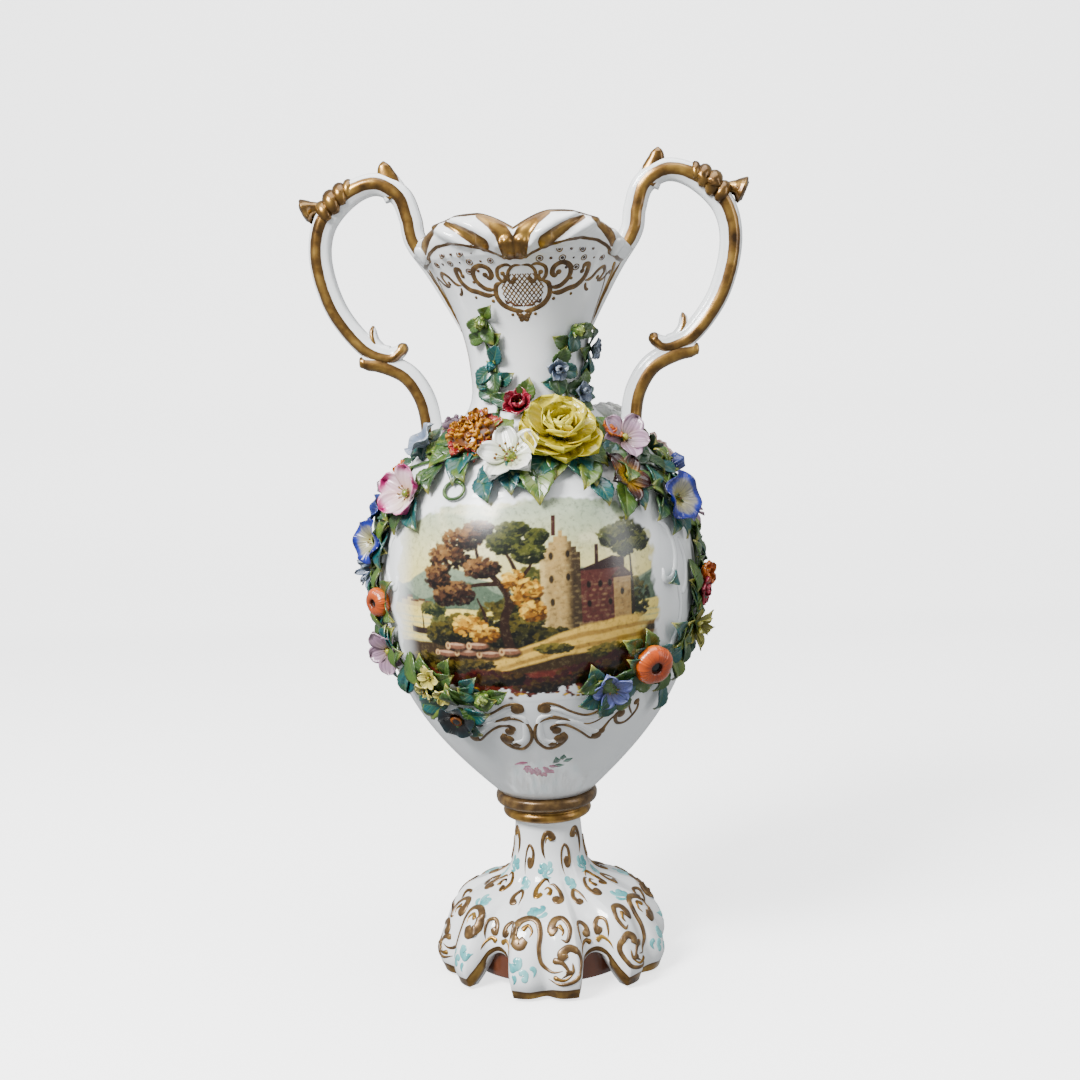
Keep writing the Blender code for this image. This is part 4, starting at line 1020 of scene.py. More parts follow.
# Body scrolls and the small painted sprig
def belly_scrolls(centre):
    """Gilt-edged scrolls that meet under the picture."""
    shapes = []
    for mirror in (-1, 1):
        def run(points, width):
            path = rounded_line(mirrored(table(points), centre, mirror), 7)
            widths = width * along(len(path), (0, 1.1), (0.08, 1.45), (0.2, 1.15), (0.5, 0.75), (0.85, 0.75),
                    (1, 0.25))
            shapes.append(ribbon(BODY, path, widths, 0.6, BROWN_GOLD))

        run("""5.8 129.6, 3.6 130.2, 3.8 132.4, 6.6 133.2, 10.5 132, 15.5 128.8, 21.5 126.4, 26 127,
            30 130.2""", 0.85)
        run("""12.6 118.6, 14.2 115.4, 10.8 111.8, 5.6 111, 1.3 115, .9 120.6, 3.4 124.8, 7.6 126.2,
            12 125""", 1.05)
        run("9.4 119.4, 8.2 121.6, 11.8 122.8, 16 121.4, 21 118.2, 26.5 114.4, 30.6 115, 32 118.4", 0.8)
        run("8.4 127, 13 125.4, 18.5 123.2, 24 121.8, 29 123.4, 33 127.6", 0.6)
        run("39.4 125.6, 36.4 123.6, 38.6 119.8, 43.6 119.8, 47.4 124.6, 46.4 130", 0.95)
        run("31.6 117.6, 33.8 121.8, 36.8 124.6", 0.75)
        run("41 130.4, 42.6 126.4, 45.6 122.6", 0.7)
        for degrees, height, size in table("""5.6 130.8 2.7, 11.8 115.6 2.8, 10.2 119.8 2.2, 29.4 115.4 2.6,
                31.4 117.2 1.8, 39 124.2 2.2, 45.8 128.4 1.7, 8.4 113.2 2"""):
            shapes.append(knob(BODY, (centre + mirror * degrees, height), size, 0.8, BROWN_GOLD))
        for points, width in ((table("8 127.8, 3.4 126, 3 120.4, 4 115.8, 8 114, 11 115.6"), 1.5),
                (table("9.4 123.8, 15 124, 21.5 121.2, 27 117.6, 29.8 117.8"), 1.5),
                (table("7 131.2, 12 129.4, 20 125.4, 28 125.4, 34 126.4, 40 127"), 1.4)):
            shapes.append(line_through(mirrored(points, centre, mirror), width, 0.6, BODY, WHITE))
    return shapes


def make_belly_scrolls():
    return gathered("belly_scrolls", belly_scrolls(0.0) + belly_scrolls(180.0))


def make_frame_relief():
    """White moulded scrolls beside the picture, with no gilding on them."""
    shapes = []
    for mirror in (-1, 1):
        for points in (table("54 205, 60 200, 62 190, 59 181, 54 180, 53 185"),
                table("61 178, 64 168, 62 156, 56 148, 50 147, 48 151"),
                table("66 196, 69 186, 68 176, 65 172")):
            shapes.append(line_through(mirrored(points, 0.0, mirror), 1.8, 0.8, BODY, WHITE))
    return gathered("picture_frame_relief", shapes)


def painted_sprig(centre, height, scale, shapes, petal, leaf):
    """A little flower of brush strokes with a leaf beside it."""
    for turn, size, x, y in table("""200 3 -2.6 .6, 250 3.2 -.8 .2, 290 3 1.2 .4, 330 2.6 2.9 .8,
        225 2.6 -1.6 -1.6, 310 2.6 1.4 -1.6, 268 2.4 0 -2.6, 180 4.2 -3.4 2.6, 230 2.4 -2.2 -.4,
        265 2.6 -.4 -.8, 300 2.4 1.4 -.6, 250 2.2 -.8 -2.4, 285 2.2 .8 -2.6, 215 2.4 -3 1, 240 2.4 -3.4 -.6,
        280 2.4 3 -1.2, 265 2.2 1.2 -3"""):
        path = flourish(size * scale, turn, 0.06, 0.0, 0.0, 10) + np.array([x, y]) * scale
        shapes.append(ribbon(BODY, BODY.around(centre, height, path),
                0.95 * scale * along(10, (0, 0.4), (0.4, 1), (1, 0.2)), 0.1, petal, 0.00004))
    for turn, size, x, y in table("25 3.4 4 2.2, -20 3 4.4 1, 80 3 5.2 2.2, 10 3.2 7.2 2.6, 60 2.6 6.8 3.6"):
        path = flourish(size * scale, turn, 0.05, 0.0, 0.0, 10) + np.array([x, y]) * scale
        shapes.append(ribbon(BODY, BODY.around(centre, height, path),
                1.15 * scale * along(10, (0, 0.3), (0.4, 1), (1, 0.1)), 0.1, leaf, 0.00004))


def make_painted_sprigs():
    shapes = []
    painted_sprig(1.2, 100.2, 1.45, shapes, PINK_ENAMEL, GREEN_ENAMEL)
    for degrees, height, scale, petal in ((180, 178, 2.6, PINK_ENAMEL), (171, 196, 1.6, TURQUOISE),
            (190, 160, 1.7, PINK_ENAMEL), (195, 190, 1.3, TURQUOISE),
            (181, 99.6, 1.2, PINK_ENAMEL), (166, 166, 1.4, TURQUOISE)):
        painted_sprig(degrees, height, scale, shapes, petal, GREEN_ENAMEL)
    return gathered("painted_sprigs", shapes)


# Handles
def handle_places(text):
    """Places in the handle's plane, out from the rim and up from the shoulder."""
    return [(RIM_RADIUS + across * HANDLE_REACH, SHOULDER_HEIGHT + up * (RIM_HEIGHT - SHOULDER_HEIGHT))
            for across, up in table(text)]


def shares(text, whole):
    """Stations along a strap with shares of its width or depth."""
    return [(station, share * whole) for station, share in table(text)]


def beside_neck(drop, sunk):
    height = RIM_HEIGHT - 0.03 * drop
    return (float(radius_at(height)) - 2 * sunk * STRAP_HALF, height)


def strap(points, steps, half, deep, side, rib=None, gilt=None, sides=44):
    """A strap in the handle's plane. Its gilt rib runs along both faces; the loop's inside is at +1."""
    line = rounded_line(points, steps)
    count = len(line)
    half = along(count, *half)[:, None]
    deep = along(count, *deep)[:, None]
    forward = np.gradient(line, axis=0)
    forward /= np.linalg.norm(forward, axis=1)[:, None]
    across = np.stack([forward[:, 1], -forward[:, 0]], axis=1)
    turn = round_angles(sides)[None, :]
    u = np.sign(np.cos(turn)) * np.abs(np.cos(turn)) ** 0.72 + np.zeros((count, 1))
    w = np.sign(np.sin(turn)) * np.abs(np.sin(turn)) ** 0.62 + np.zeros((count, 1))
    gild = np.full((count, sides), -2.0)
    if rib is not None:
        middle, wide = along(count, *rib)[:, None], along(count, *gilt)[:, None]
        inside = wide - np.abs(u - middle)
        edge_line = np.where((np.abs(w) < 0.3) & (u < 0), 0.12, -2.0)
        gild = np.maximum(np.where((np.abs(w) > 0.35) | (wide > 0.9), inside * half / MM, -2.0), edge_line)
        w = w * (1 + 0.14 * soft_step(inside / wide, -0.05, 0.75)
                - 0.1 * soft_step(-inside / wide, 0.0, 0.5) * (u > middle))
    x = line[:, :1] + across[:, :1] * u * half
    z = line[:, 1:] + across[:, 1:] * u * half
    points = np.stack([side * x, w * deep * np.ones_like(x), z], axis=-1)
    if side < 0:
        points = points[:, ::-1]
        gild = gild[:, ::-1]
    return capped_rows(points, PART_GILT, {"gilding": np.clip(gild, -2, 2)})


def trumpet(points, radii, side, squash):
    """A curled leaf that swells to a rounded knob, with ribs whose grooves are darkened with painted shade, and a
    shallow hollow at its end darkened with painted shade.
    """
    line = rounded_line(points, 8)
    count = len(line)
    size = along(count, *radii)
    forward = np.gradient(line, axis=0)
    forward /= np.linalg.norm(forward, axis=1)[:, None]
    across = np.stack([forward[:, 1], -forward[:, 0]], axis=1)
    turn = round_angles(32)
    flute = 1 + 0.06 * np.cos(6 * turn) * np.linspace(0, 1, count)[:, None] ** 2
    rings = [(line[index], size[index] * flute[index], across[index]) for index in range(count)]
    for scale, ahead in table(".86 .0006, .66 .0006, .5 -.0004, .34 -.0018, .06 -.0024"):
        rings.append((line[-1] + forward[-1] * ahead, size[-1] * scale * flute[-1], across[-1]))
    rows = np.array([np.stack([side * (centre[0] + sideways[0] * radius * np.cos(turn)),
            squash * radius * np.sin(turn),
            centre[1] + sideways[1] * radius * np.cos(turn)], axis=1) for centre, radius, sideways in rings])
    if side < 0:
        rows = rows[:, ::-1]
    # The gilding mark falls in the flutes' grooves and at the knob's hollow end, so these turn dark: painted shade.
    mark = np.broadcast_to(np.concatenate([np.full(count, 1.0), [0.3, 0.05, -0.05, 0.02, 0.02]])[:, None],
            rows.shape[:2])
    return capped_rows(rows, PART_GILT, {"gilding": mark * (0.55 + 0.45 * np.cos(6 * turn))[None, :] + 0.06})


def acanthus(side):
    """Gilt lobes wrapped round the strap's shoulder, and the curled leaf that stands off their end."""
    shapes = []
    line = rounded_line(handle_places(".406 1.462, .683 1.405, .931 1.25, .993 1.03"), 30)
    for index, size, reach in ((24, 0.0022, -10), (32, 0.0034, 4), (41, 0.004, 10), (50, 0.0034, 0)):
        forward = line[index + 1] - line[index - 1]
        forward /= np.linalg.norm(forward)
        shapes.append(knuckle(line[index], forward, side, size, reach, 0.002))
    tip = handle_places(".76 1.372, .84 1.364, .92 1.348, 1 1.346, 1.06 1.34, 1.105 1.33, 1.135 1.322")
    radii = table("0 .0034, .25 .0028, .48 .0024, .62 .0032, .76 .005, .88 .0058, .95 .0055, 1 .0044")
    shapes.append(trumpet(tip, radii, side, 0.92))
    return shapes


def make_handle(name, node, side):
    upper = [beside_neck(1.0, 0.1), beside_neck(0.57, 0.06), beside_neck(0.13, 0.3)]
    upper += handle_places(""".038 1.13, .078 1.255, .172 1.392, .406 1.462, .683 1.405, .931 1.25, .993 1.03,
            .866 .755, .603 .54, .376 .472, .26 .49, .186 .536""")
    foot = float(radius_at(SHOULDER_HEIGHT)) + 0.0045
    lower = handle_places(".66 .438, .566 .437, .42 .428, .187 .358, .038 .23")
    lower += [(foot, SHOULDER_HEIGHT + 1.3 * SCROLL_HALF), (foot, SHOULDER_HEIGHT - 1.64 * SCROLL_HALF)]
    shapes = [
        strap(upper, 12,
            shares("""0 .3, .14 .85, .2 1, .46 1, .55 1.08, .62 1, .86 .9, .93 .62, .975 .5, .99 .36,
            1 .1""", STRAP_HALF),
            shares("0 .45, .14 1, .9 1, .96 .8, .99 .55, 1 .2", STRAP_DEEP), side,
            rib=table("0 .1, .16 .16, .3 .2, .42 0, .55 -.2, .7 -.3, .9 -.35, 1 0"),
            gilt=table("0 .3, .12 .44, .42 .5, .9 .46, .94 .62, .97 1.05, 1 1.3")),
        strap(lower, 12, shares("0 .2, .015 .52, .06 .6, .14 .8, .3 1, 1 1", SCROLL_HALF),
            shares("0 .3, .015 .75, .1 .9, 1 1", STRAP_DEEP), side,
            rib=table("0 -.1, .1 -.3, .25 -.42, 1 -.45"), gilt=table("0 1.2, .05 1.1, .12 .62, 1 .5")),
        strap(handle_places(".2 1.385, .246 1.44, .29 1.505, .312 1.56, .318 1.592"), 8,
            table("0 .0056, .25 .0054, .5 .0042, .75 .0028, .9 .0016, 1 .0004"),
            table("0 .0044, .4 .0034, .8 .0024, 1 .0007"), side, rib=((0, 0.0), (1, 0.0)),
            gilt=table("0 .55, .4 .95, 1 1.3"), sides=28),
        strap(handle_places(".39 .452, .45 .496, .498 .552, .515 .606, .506 .65"), 8,
            table("0 .005, .25 .0038, .55 .0023, .85 .0017, 1 .0004"),
            table("0 .0044, .6 .003, .85 .002, 1 .0006"), side, rib=((0, 0.25), (1, 0.05)),
            gilt=table("0 .22, .6 .42, .9 .5, 1 .9"), sides=28)]
    shapes += acanthus(side)
    return gathered(name, shapes, node)


# Foot
def make_foot():
    columns = 480
    angles = round_angles(columns)
    collar = rounded_line(table(""".0006 .0797, .015 .0797, .0208 .0796, .0226 .0787, .023 .0768, .0224 .0748,
        .0206 .0736, .0193 .073, .019 .0724, .0197 .0713, .02 .07, .0194 .0687, .018 .0678, .016 .0674,
        .015 .067"""), 4)
    collar_rows = turned(angles[None, :], collar[:, :1], collar[:, 1:])
    down = np.linspace(0, FOOT_LENGTH, 120)
    outer = foot_point(angles[None, :], down[:, None])
    steps = np.linalg.norm(np.diff(outer, axis=0), axis=2)
    edge_distance = np.concatenate([np.cumsum(steps[::-1], axis=0)[::-1], np.zeros((1, columns))]) / MM
    share = lobe_share(angles)[None, :]
    notch = soft_step(share, 0.58, 0.76)
    waver = 0.5 * np.sin(9 * angles)[None, :] + 0.3 * np.sin(23 * angles + 1)[None, :]
    band = 4.6 + waver - 1.6 * np.exp(-(share / 0.12) ** 2) - edge_distance
    line = 1.1 - np.abs(edge_distance - 2.3 - 0.4 * waver)
    gild = band * (1 - notch) + line * notch
    inner_sections = np.array(table(""".0453 0 .0363 .015, .0405 .014 .032 .018, .0322 .0279 .0271 .0221,
        .02 .032 .0185 .03, .0107 .035 .0107 .035"""))
    inner_line = rounded_line(inner_sections, 6)
    inward = notch_share(angles)[None, :]
    hollow = np.linspace(1, 0, len(inner_line))[:, None] ** 2 * LOBE_DENT * np.exp(-(share / 0.16) ** 2)
    radius = inner_line[:, :1] + inward * (inner_line[:, 2:3] - inner_line[:, :1]) - hollow
    height = inner_line[:, 1:2] + inward * (inner_line[:, 3:] - inner_line[:, 1:2])
    inner = turned(angles[None, :], radius, height)
    top = turned(angles[None, :], np.full((1, 1), 0.0004), np.full((1, 1), 0.0506))
    rows = np.concatenate([collar_rows[:-1], outer, inner, top])
    marks = np.concatenate([np.full((len(collar) - 1, columns), -2.0), gild,
            np.full((len(inner) + 1, columns), -2.0)])
    kinds = np.zeros(len(rows) - 1, int)
    heights = collar[:-1, 1]
    kinds[:len(heights)] = np.where(heights > 0.0727, 2, 1)
    kinds[len(heights) - 1] = 0
    # The foot's inside takes the reddish dark finish: partly its own tone, partly painted shade.
    kinds[len(heights) + len(outer):] = 3
    shape = capped_rows(rows[::-1], PART_GILT, {"gilding": np.clip(marks[::-1], -2, 2)},
            np.repeat(kinds[::-1][:, None], columns, axis=1), [PART_GILT, GOLD, BROWN_GOLD, HOLLOW_TONE_AND_SHADE])
    # A reddish dark ring just inside the notches, standing in for the hollow seen through them: partly painted shade,
    # partly the foot's own warm tone.
    ring = rounded_line(table(""".0388 .0175, .0388 .01, .0386 .0035, .0376 .0025, .0366 .0035, .0366 .01,
        .0366 .0175"""), 3)
    ring_rows = turned(round_angles(96)[None, :], ring[:, :1], ring[:, 1:])
    ring_faces = grid_faces(len(ring), 96)
    last = (len(ring) - 1) * 96
    closing = [(index, (index + 1) % 96, last + (index + 1) % 96, last + index) for index in range(96)]
    ring_shape = Shape(ring_rows.reshape(-1, 3), np.concatenate([ring_faces, closing]), HOLLOW_TONE_AND_SHADE)
    return gathered("lobed_foot", [shape, ring_shape], "pedestal_foot")


def foot_ornament(lobe, mirror, shapes):
    """Commas and scrolls of one lobe, from the stem down to its edge."""
    def put_commas(rows, shift=0.0):
        for degrees, down, length, turn, curl, width in table(rows):
            place = (lobe + mirror * (shift + degrees), down)
            shapes.append(comma(length, turn, curl, width, 0.4, FOOT, place, TURQUOISE, mirror))

    def put_line(points, width, finish=BROWN_GOLD, height=0.7, roll=1.0, flank=1, shift=0.0):
        path = rounded_line([(lobe + mirror * (flank * d + shift), z) for d, z in table(points)], 7)
        widths = width * along(len(path), (0, 1.15 * roll), (0.07, 1.7 * roll), (0.2, 1.3), (0.5, 0.9), (0.85, 0.55),
                (1, 0.12))
        shapes.append(ribbon(FOOT, path, widths, height, finish))

    def put_blobs(rows, shift=0.0):
        for degrees, down, size in table(rows):
            shapes.append(knob(FOOT, (lobe + mirror * (shift + degrees), down), size, 0.45, TURQUOISE))

    # stem: a gilt comma, and a turquoise spray under it
    put_line("11 5, 8 2, 0 1.6, -6 5, -6 9.6, -2 13.4", 1.15, BROWN_GOLD)
    put_line("9 4.6, 2 3.6, -2 6.6", 0.55, GOLD, 0.9)
    put_commas("""-9 17 7 80 -.45 1.7, 2 14.4 7.6 -25 -.3 1.2,
        6 17 5.4 -60 -.2 1, -4 19.4 4.8 -100 .2 1.1""")
    put_blobs("-9 18.4 1.6, -2 17 1.2")
    # the pair of gilt scrolls at the foot of the stem, with their turquoise spray
    put_line("-5 29.4, -9.6 31.6, -11.6 27, -6 23, 0 22, 4 24.2", 1.1, GOLD, roll=0.8)
    put_line("9 31.6, 9.6 34.8, 13.8 33.8, 14 28.6, 9 24.8, 3 24.6", 1.25, BROWN_GOLD)
    put_line("2 30.6, 4.6 27.6, 1 26, -3.4 27.6", 0.8, GOLD)
    put_commas("""-10 40.5 8.2 85 -.5 2.1, -4 37.4 8 -15 -.28 1.5,
        0 41.2 7 -70 -.22 1.3, -8 42.4 5.4 -100 .2 1.3""")
    put_blobs("-10 41.6 1.9, -4.6 40 1.5")
    # the lobe's left scroll and the line that runs down its middle to the right
    put_line("""-10.4 54.4, -13.6 57, -17.4 53.4, -16 47.4, -10 44.6, -4.6 46.4, -2.4 52, -3 59,
        -1.6 65.4, 3.2 68.6, 8.8 67.8""", 1.65)
    put_line("-12.8 50.6, -9.6 48.4, -7 51, -8.4 54", 0.8, GOLD)
    put_line("6.6 51.8, 4 50, 6.4 45.6, 11.4 45, 14.6 50, 12.4 55.4, 9 54.6", 1.55)
    put_line("8.4 48.4, 10.6 51, 9.6 53.4", 0.75, GOLD)
    put_line("10.6 63, 9 60.6, 13 58.4, 17.6 61, 18.6 66.4, 15.4 71.6, 8 73.6, 1.6 72", 1.5)
    put_line("10.2 68.4, 13.6 68.2, 13.8 64.4", 0.95)
    put_line("4.4 63.6, 9 64.6, 11.4 68.4, 8 71", 0.95)
    put_line("4.4 70.8, 9.6 71.6, 14.6 68.4", 0.7, GOLD, 0.9)
    put_commas("""-15 64.6 7.4 50 -.6 2.6,
        -11 69.6 6.4 100 -.5 1.9, -6.8 67.4 5.4 60 -.4 1.4, -15.6 70.6 4.4 20 -.3 1.3""")
    put_blobs("-15.6 66.8 2.2, -9.4 71.2 1.6, -12.4 63.4 1.4")
    # beside the notch, on both of its flanks
    for flank in (1, -1):
        put_line("24 50.4, 26.6 52.6, 26.4 48, 23 45.6, 20.4 48, 20.6 53.6, 21.6 58.4", 1.1, flank=flank)
        put_line("28 58.6, 24.6 56.4, 21.6 60, 20.4 66", 0.85, GOLD, flank=flank)
    # over each notch, once: a comma on the stem, a turquoise spray and a scroll
    for flank in (1, -1) if mirror > 0 else ():
        put_line("4.4 13, 1 14.6, 2.6 17, 7 15, 7.4 10, 1 7.4, -5 10.4, -6.4 16.4, -3 21.4", 0.85, shift=30.0 * flank)
        put_line("2 34.4, -1.6 35.6, -3.6 31.6, .6 28, 5 31, 6 37", 1.1, shift=30.0 * flank)
        put_commas("""-3 25 6.6 100 -.5 1.6, 1.4 23.4 6 20 -.4 1.3,
            -1.4 25.4 5.6 120 -.4 1.4, 3.6 25 4.6 -40 -.3 1.2""", 30.0 * flank)
        put_blobs("-2 22.6 1.6, 0 26.8 1.3", 30.0 * flank)


def make_foot_ornament():
    shapes = []
    for lobe in range(FOOT_LOBES):
        foot_ornament(360.0 / FOOT_LOBES * lobe, 1 if lobe % 2 == 0 else -1, shapes)
    return gathered("foot_commas_and_scrolls", shapes)


# The painted landscape
def screen(colour):
    """A colour as a screen shows it, turned into light."""
    if not isinstance(colour, str):
        return colour
    return np.array([((p / 255 + 0.055) / 1.055) ** 2.4 if p > 10 else p / 3294 for p in map(float, colour.split())])


class Picture:
    """A small painting over a grid of places in millimetres, worked from the sky forwards."""

    def __init__(self, x, y):
        self.x, self.y = x, y
        self.colour = np.zeros((*x.shape, 3))
        self.chance = np.random.default_rng(11)

    def lay(self, mask, colour):
        mask = np.clip(mask, 0, 1)[..., None]
        self.colour = self.colour * (1 - mask) + screen(colour) * mask

    def wavy(self, scale, seed):
        """Smooth unevenness about nought."""
        value = np.zeros_like(self.x)
        chance = np.random.default_rng(seed)
        for octave in range(5):
            turn, shift = chance.uniform(0, 2 * math.pi), chance.uniform(0, 2 * math.pi)
            size = scale / 1.7 ** octave
            value += np.sin((self.x * math.cos(turn) + self.y * math.sin(turn)) / size + shift
                    + 1.3 * np.sin(self.y / size * 0.7 + turn)) / (octave + 1.5)
        return value

    def dab(self, x, y, wide, tall, colour, turn=0.0, strength=0.85):
        reach = max(wide, tall) * 1.2
        columns = np.where(np.abs(self.x[0] - x) < reach)[0]
        rows = np.where(np.abs(self.y[:, 0] - y) < reach)[0]
        if not len(columns) or not len(rows):
            return
        part = np.s_[rows[0]:rows[-1] + 1, columns[0]:columns[-1] + 1]
        dx, dy = self.x[part] - x, self.y[part] - y
        a, b = dx * math.cos(turn) + dy * math.sin(turn), dy * math.cos(turn) - dx * math.sin(turn)
        mask = (strength * soft_step(1.15 - np.hypot(a / wide, b / tall), 0.0, 0.45))[..., None]
        self.colour[part] = self.colour[part] * (1 - mask) + screen(colour) * mask

    def foliage(self, crowns, colours, count, size=1.0):
        """Crowns of leaves in dabs, darker below and lit above."""
        crowns, colours = table(crowns), [screen(part) for part in colours.split(",")]
        for _ in range(count):
            cx, cy, rx, ry = crowns[self.chance.integers(len(crowns))]
            turn, reach = self.chance.uniform(0, 2 * math.pi), self.chance.uniform(0, 1) ** 0.6
            x, y = cx + rx * reach * math.cos(turn), cy + ry * reach * math.sin(turn)
            lit = np.clip(0.5 + 0.5 * (y - cy) / ry + 0.3 * (cx - x) / rx + self.chance.normal(0, 0.22), 0, 0.999)
            colour = colours[int(lit * len(colours))]
            self.dab(x, y, size * self.chance.uniform(0.6, 1.5), size * self.chance.uniform(0.4, 0.9),
                    colour * self.chance.uniform(0.85, 1.15), self.chance.uniform(-0.7, 0.7))

    def branch(self, points, wide, colour):
        line = rounded_line(table(points), 8)
        widths = np.linspace(wide, 0.25 * wide, len(line))
        self.lay(soft_step(stroke_distance(self.x, self.y, [tuple(p) for p in line], widths), -0.25, 0.15), colour)

    def box(self, x0, x1, y0, y1, colour):
        inside = np.minimum.reduce([self.x - x0, x1 - self.x, self.y - y0, y1 - self.y])
        self.lay(soft_step(inside, -0.15, 0.2), colour)


def landscape(x, y):
    """A river valley: hills and a far village, wind-bent trees, a stone farm, felled logs and a path."""
    art = Picture(x, y)
    rough = art.wavy(9.0, 3)
    height = np.clip((y + 4) / 40, 0, 1)[..., None]
    art.colour[:] = screen("243 226 150") * (1 - height) + screen("190 198 176") * height
    art.lay(0.6 * soft_step(rough + 0.35 * np.sin(y / 3.0), 0.2, 1.2), "248 240 205")
    art.lay(0.6 * soft_step(x - 8 + 5 * rough, 0, 16) * soft_step(y, 16, 34), "168 180 160")
    art.lay(soft_step(11.0 + 4.0 * np.sin((x + 44) / 8.0) + 1.2 * rough - y, 0, 0.9), "150 162 142")
    art.lay(soft_step(5.0 + 3.0 * np.sin((x + 30) / 6.0) + rough - y, 0, 0.8), "112 128 110")
    art.lay(soft_step(-2.2 + 0.6 * rough - y, 0, 0.6), "232 216 140")
    art.lay(0.7 * soft_step(np.sin(y * 2.6 + rough), 0.3, 1.0) * soft_step(-5 - y, 0, 2), "188 192 158")
    # a village on the far bank, and a barge
    for place, wide, tall in table("-52 2.2 2.2, -48.4 1.6 3.4, -45.4 2.4 1.8, -41.4 1.8 2.4, -38 1.4 1.6"):
        art.box(place - wide, place + wide, -2.6, -2.6 + tall, "206 186 128")
        art.box(place - wide, place + wide, -2.6 + tall, -1.6 + tall, "122 96 74")
    hull = np.minimum(1.4 - np.abs(y + 12.4 + 0.02 * (x + 42) ** 2 * -0.6), 6.0 - np.abs(x + 42))
    art.lay(soft_step(hull, -0.2, 0.4), "70 52 40")
    art.branch("-41 -12, -41.5 -4", 0.4, "70 52 40")
    art.foliage("-36 -3 6 2.6, -31 -9 6 4", "52 64 44, 84 92 56, 122 120 72", 260, 1.1)
    # dark wood behind the farm
    art.foliage("4 5 6 9, 10 -4 8 8, -2 -6 8 9, 44 -2 8 9, 38 3 5 6",
            "34 40 24, 58 66 36, 90 94 48, 120 112 58", 900, 1.25)
    for points in ("40 -8, 38.5 4, 40.5 22", "44.5 -6, 44 8, 43 24"):
        art.branch(points, 0.75, "70 58 38")
    art.foliage("37 24 7 4.2, 44 27 7 4.2, 48 21 5 3.6, 41 19 5 3",
            "42 50 28, 72 80 42, 108 110 60", 620, 1.15)
    # the farm: a tall stepped gable of warm stone, and a lower range with a plum wall
    stone, shade, light = (screen(part) for part in ("190 166 116", "80 66 52", "222 202 150"))
    step_top = 28.0 - 2.2 * np.floor(np.abs(x - 15.5) / 1.7 + 0.5)
    gable = np.minimum.reduce([7.6 - np.abs(x - 15.5), step_top - y, y + 15])
    art.lay(soft_step(gable, -0.1, 0.25), stone)
    art.lay(0.95 * soft_step(x, 16.0, 20.5) * soft_step(gable, -0.1, 0.25), shade)
    art.lay(0.6 * soft_step(11.0 - x, 0, 2) * soft_step(gable, -0.1, 0.25), light)
    art.box(12.2, 13.8, 26, 34.0, "92 62 54")
    art.box(23.0, 40, -12, 12.5, "112 70 64")
    roof = np.minimum.reduce([12.0 + 0.34 * (x - 22) - y, 20.0 - 0.25 * (x - 22) - y, y - 11.5, 41 - x, x - 22])
    art.lay(soft_step(roof, -0.1, 0.3), "72 52 52")
    art.box(28.6, 30.0, 14, 21.5, "78 54 50")
    art.box(36, 43.5, -12, 8, "176 150 104")
    art.lay(soft_step(np.minimum.reduce([12.5 - np.abs(x - 39.8) * 0.9 - y, y - 7.6]), -0.1, 0.3), "92 66 56")
    for row in range(20):
        for column in range(15):
            bx, by = 8.6 + column * 2.35 + (row % 2) * 1.1, -13 + row * 2.1
            if (bx < 23 and by < 24) or (by < 7.5 and bx < 43):
                art.dab(bx + art.chance.uniform(-1, 1), by, 0.95, 0.5,
                        (light if (row + column) % 3 else shade) * art.chance.uniform(0.5, 0.95), 0, 0.25)
    for wx, wy, wide, tall in table("""12 18 .9 1.7, 18.2 18.5 .8 1.6, 12 9 .9 1.7, 18.2 9.5 .8 1.6,
        12.2 0 .9 1.7, 26 6 .9 1.4, 30.5 6 .9 1.4, 34.4 6 .9 1.4, 26 -1.5 .9 1.4, 34.4 -1.5 .9 1.4,
        39.6 2 .9 1.5"""):
        art.dab(wx, wy, wide, tall, "30 20 16")
    art.box(22, 45, -18, -9, "206 186 136")
    art.lay(0.8 * soft_step(np.minimum.reduce([x - 22, 45 - x, -9 - y, y + 10.4]), -0.1, 0.2), "110 86 60")
    for door, wide in table("26.5 1.7, 33 2.8, 40 1.7"):
        art.box(door - wide, door + wide, -18, -11.8, "38 26 18")
    # banks and dark growth under the trees
    art.lay(soft_step(-12.0 + 2.0 * rough + 0.12 * (x + 20) * (x < -20) - y, 0, 1.2) * soft_step(x, -40, -30),
            "78 66 38")
    art.foliage("-32 -13 7 5, -22 -10 8 6, -8 -8 9 9, 2 -12 8 8, 12 -14 7 4",
            "24 24 14, 44 44 22, 74 72 34, 112 102 44", 1100, 1.25)
    # the bent trees
    for points, wide in (("-4 -19, -6 -8, -4 2, -10 11, -18 17, -27 19", 2.0), ("-5 -4, 0 6, -2 15, -6 22", 1.4),
            ("-8 8, -18 7, -27 3", 0.9), ("-1 8, 4 14, 6 20", 0.8), ("-14 14, -16 22, -14 28", 0.8),
            ("-14 -16, -13 -6, -16 2", 1.0)):
        art.branch(points, wide, "70 48 36")
    art.foliage("-28 18 9 5, -33 10 6 5, -22 25 8 4.4, -24 4 7 4.6, -14 14 7 4, -15 29 6 3.4, -30 3 5 4",
            "42 28 26, 70 48 40, 104 76 56, 150 118 78", 1300, 1.15)
    art.foliage("-5 24 7 4.4, 4 20 6 4.2, 7 26 4 3, -2 29 6 3",
            "36 44 24, 66 74 36, 106 108 54", 800, 1.1)
    art.foliage("3 4 6 6, -2 9 4 4, 5 -3 5 4, -20 -9 7 4.6, -14 -12 6 3.4",
            "104 70 20, 160 116 36, 206 164 64, 232 200 104", 620, 1.1)
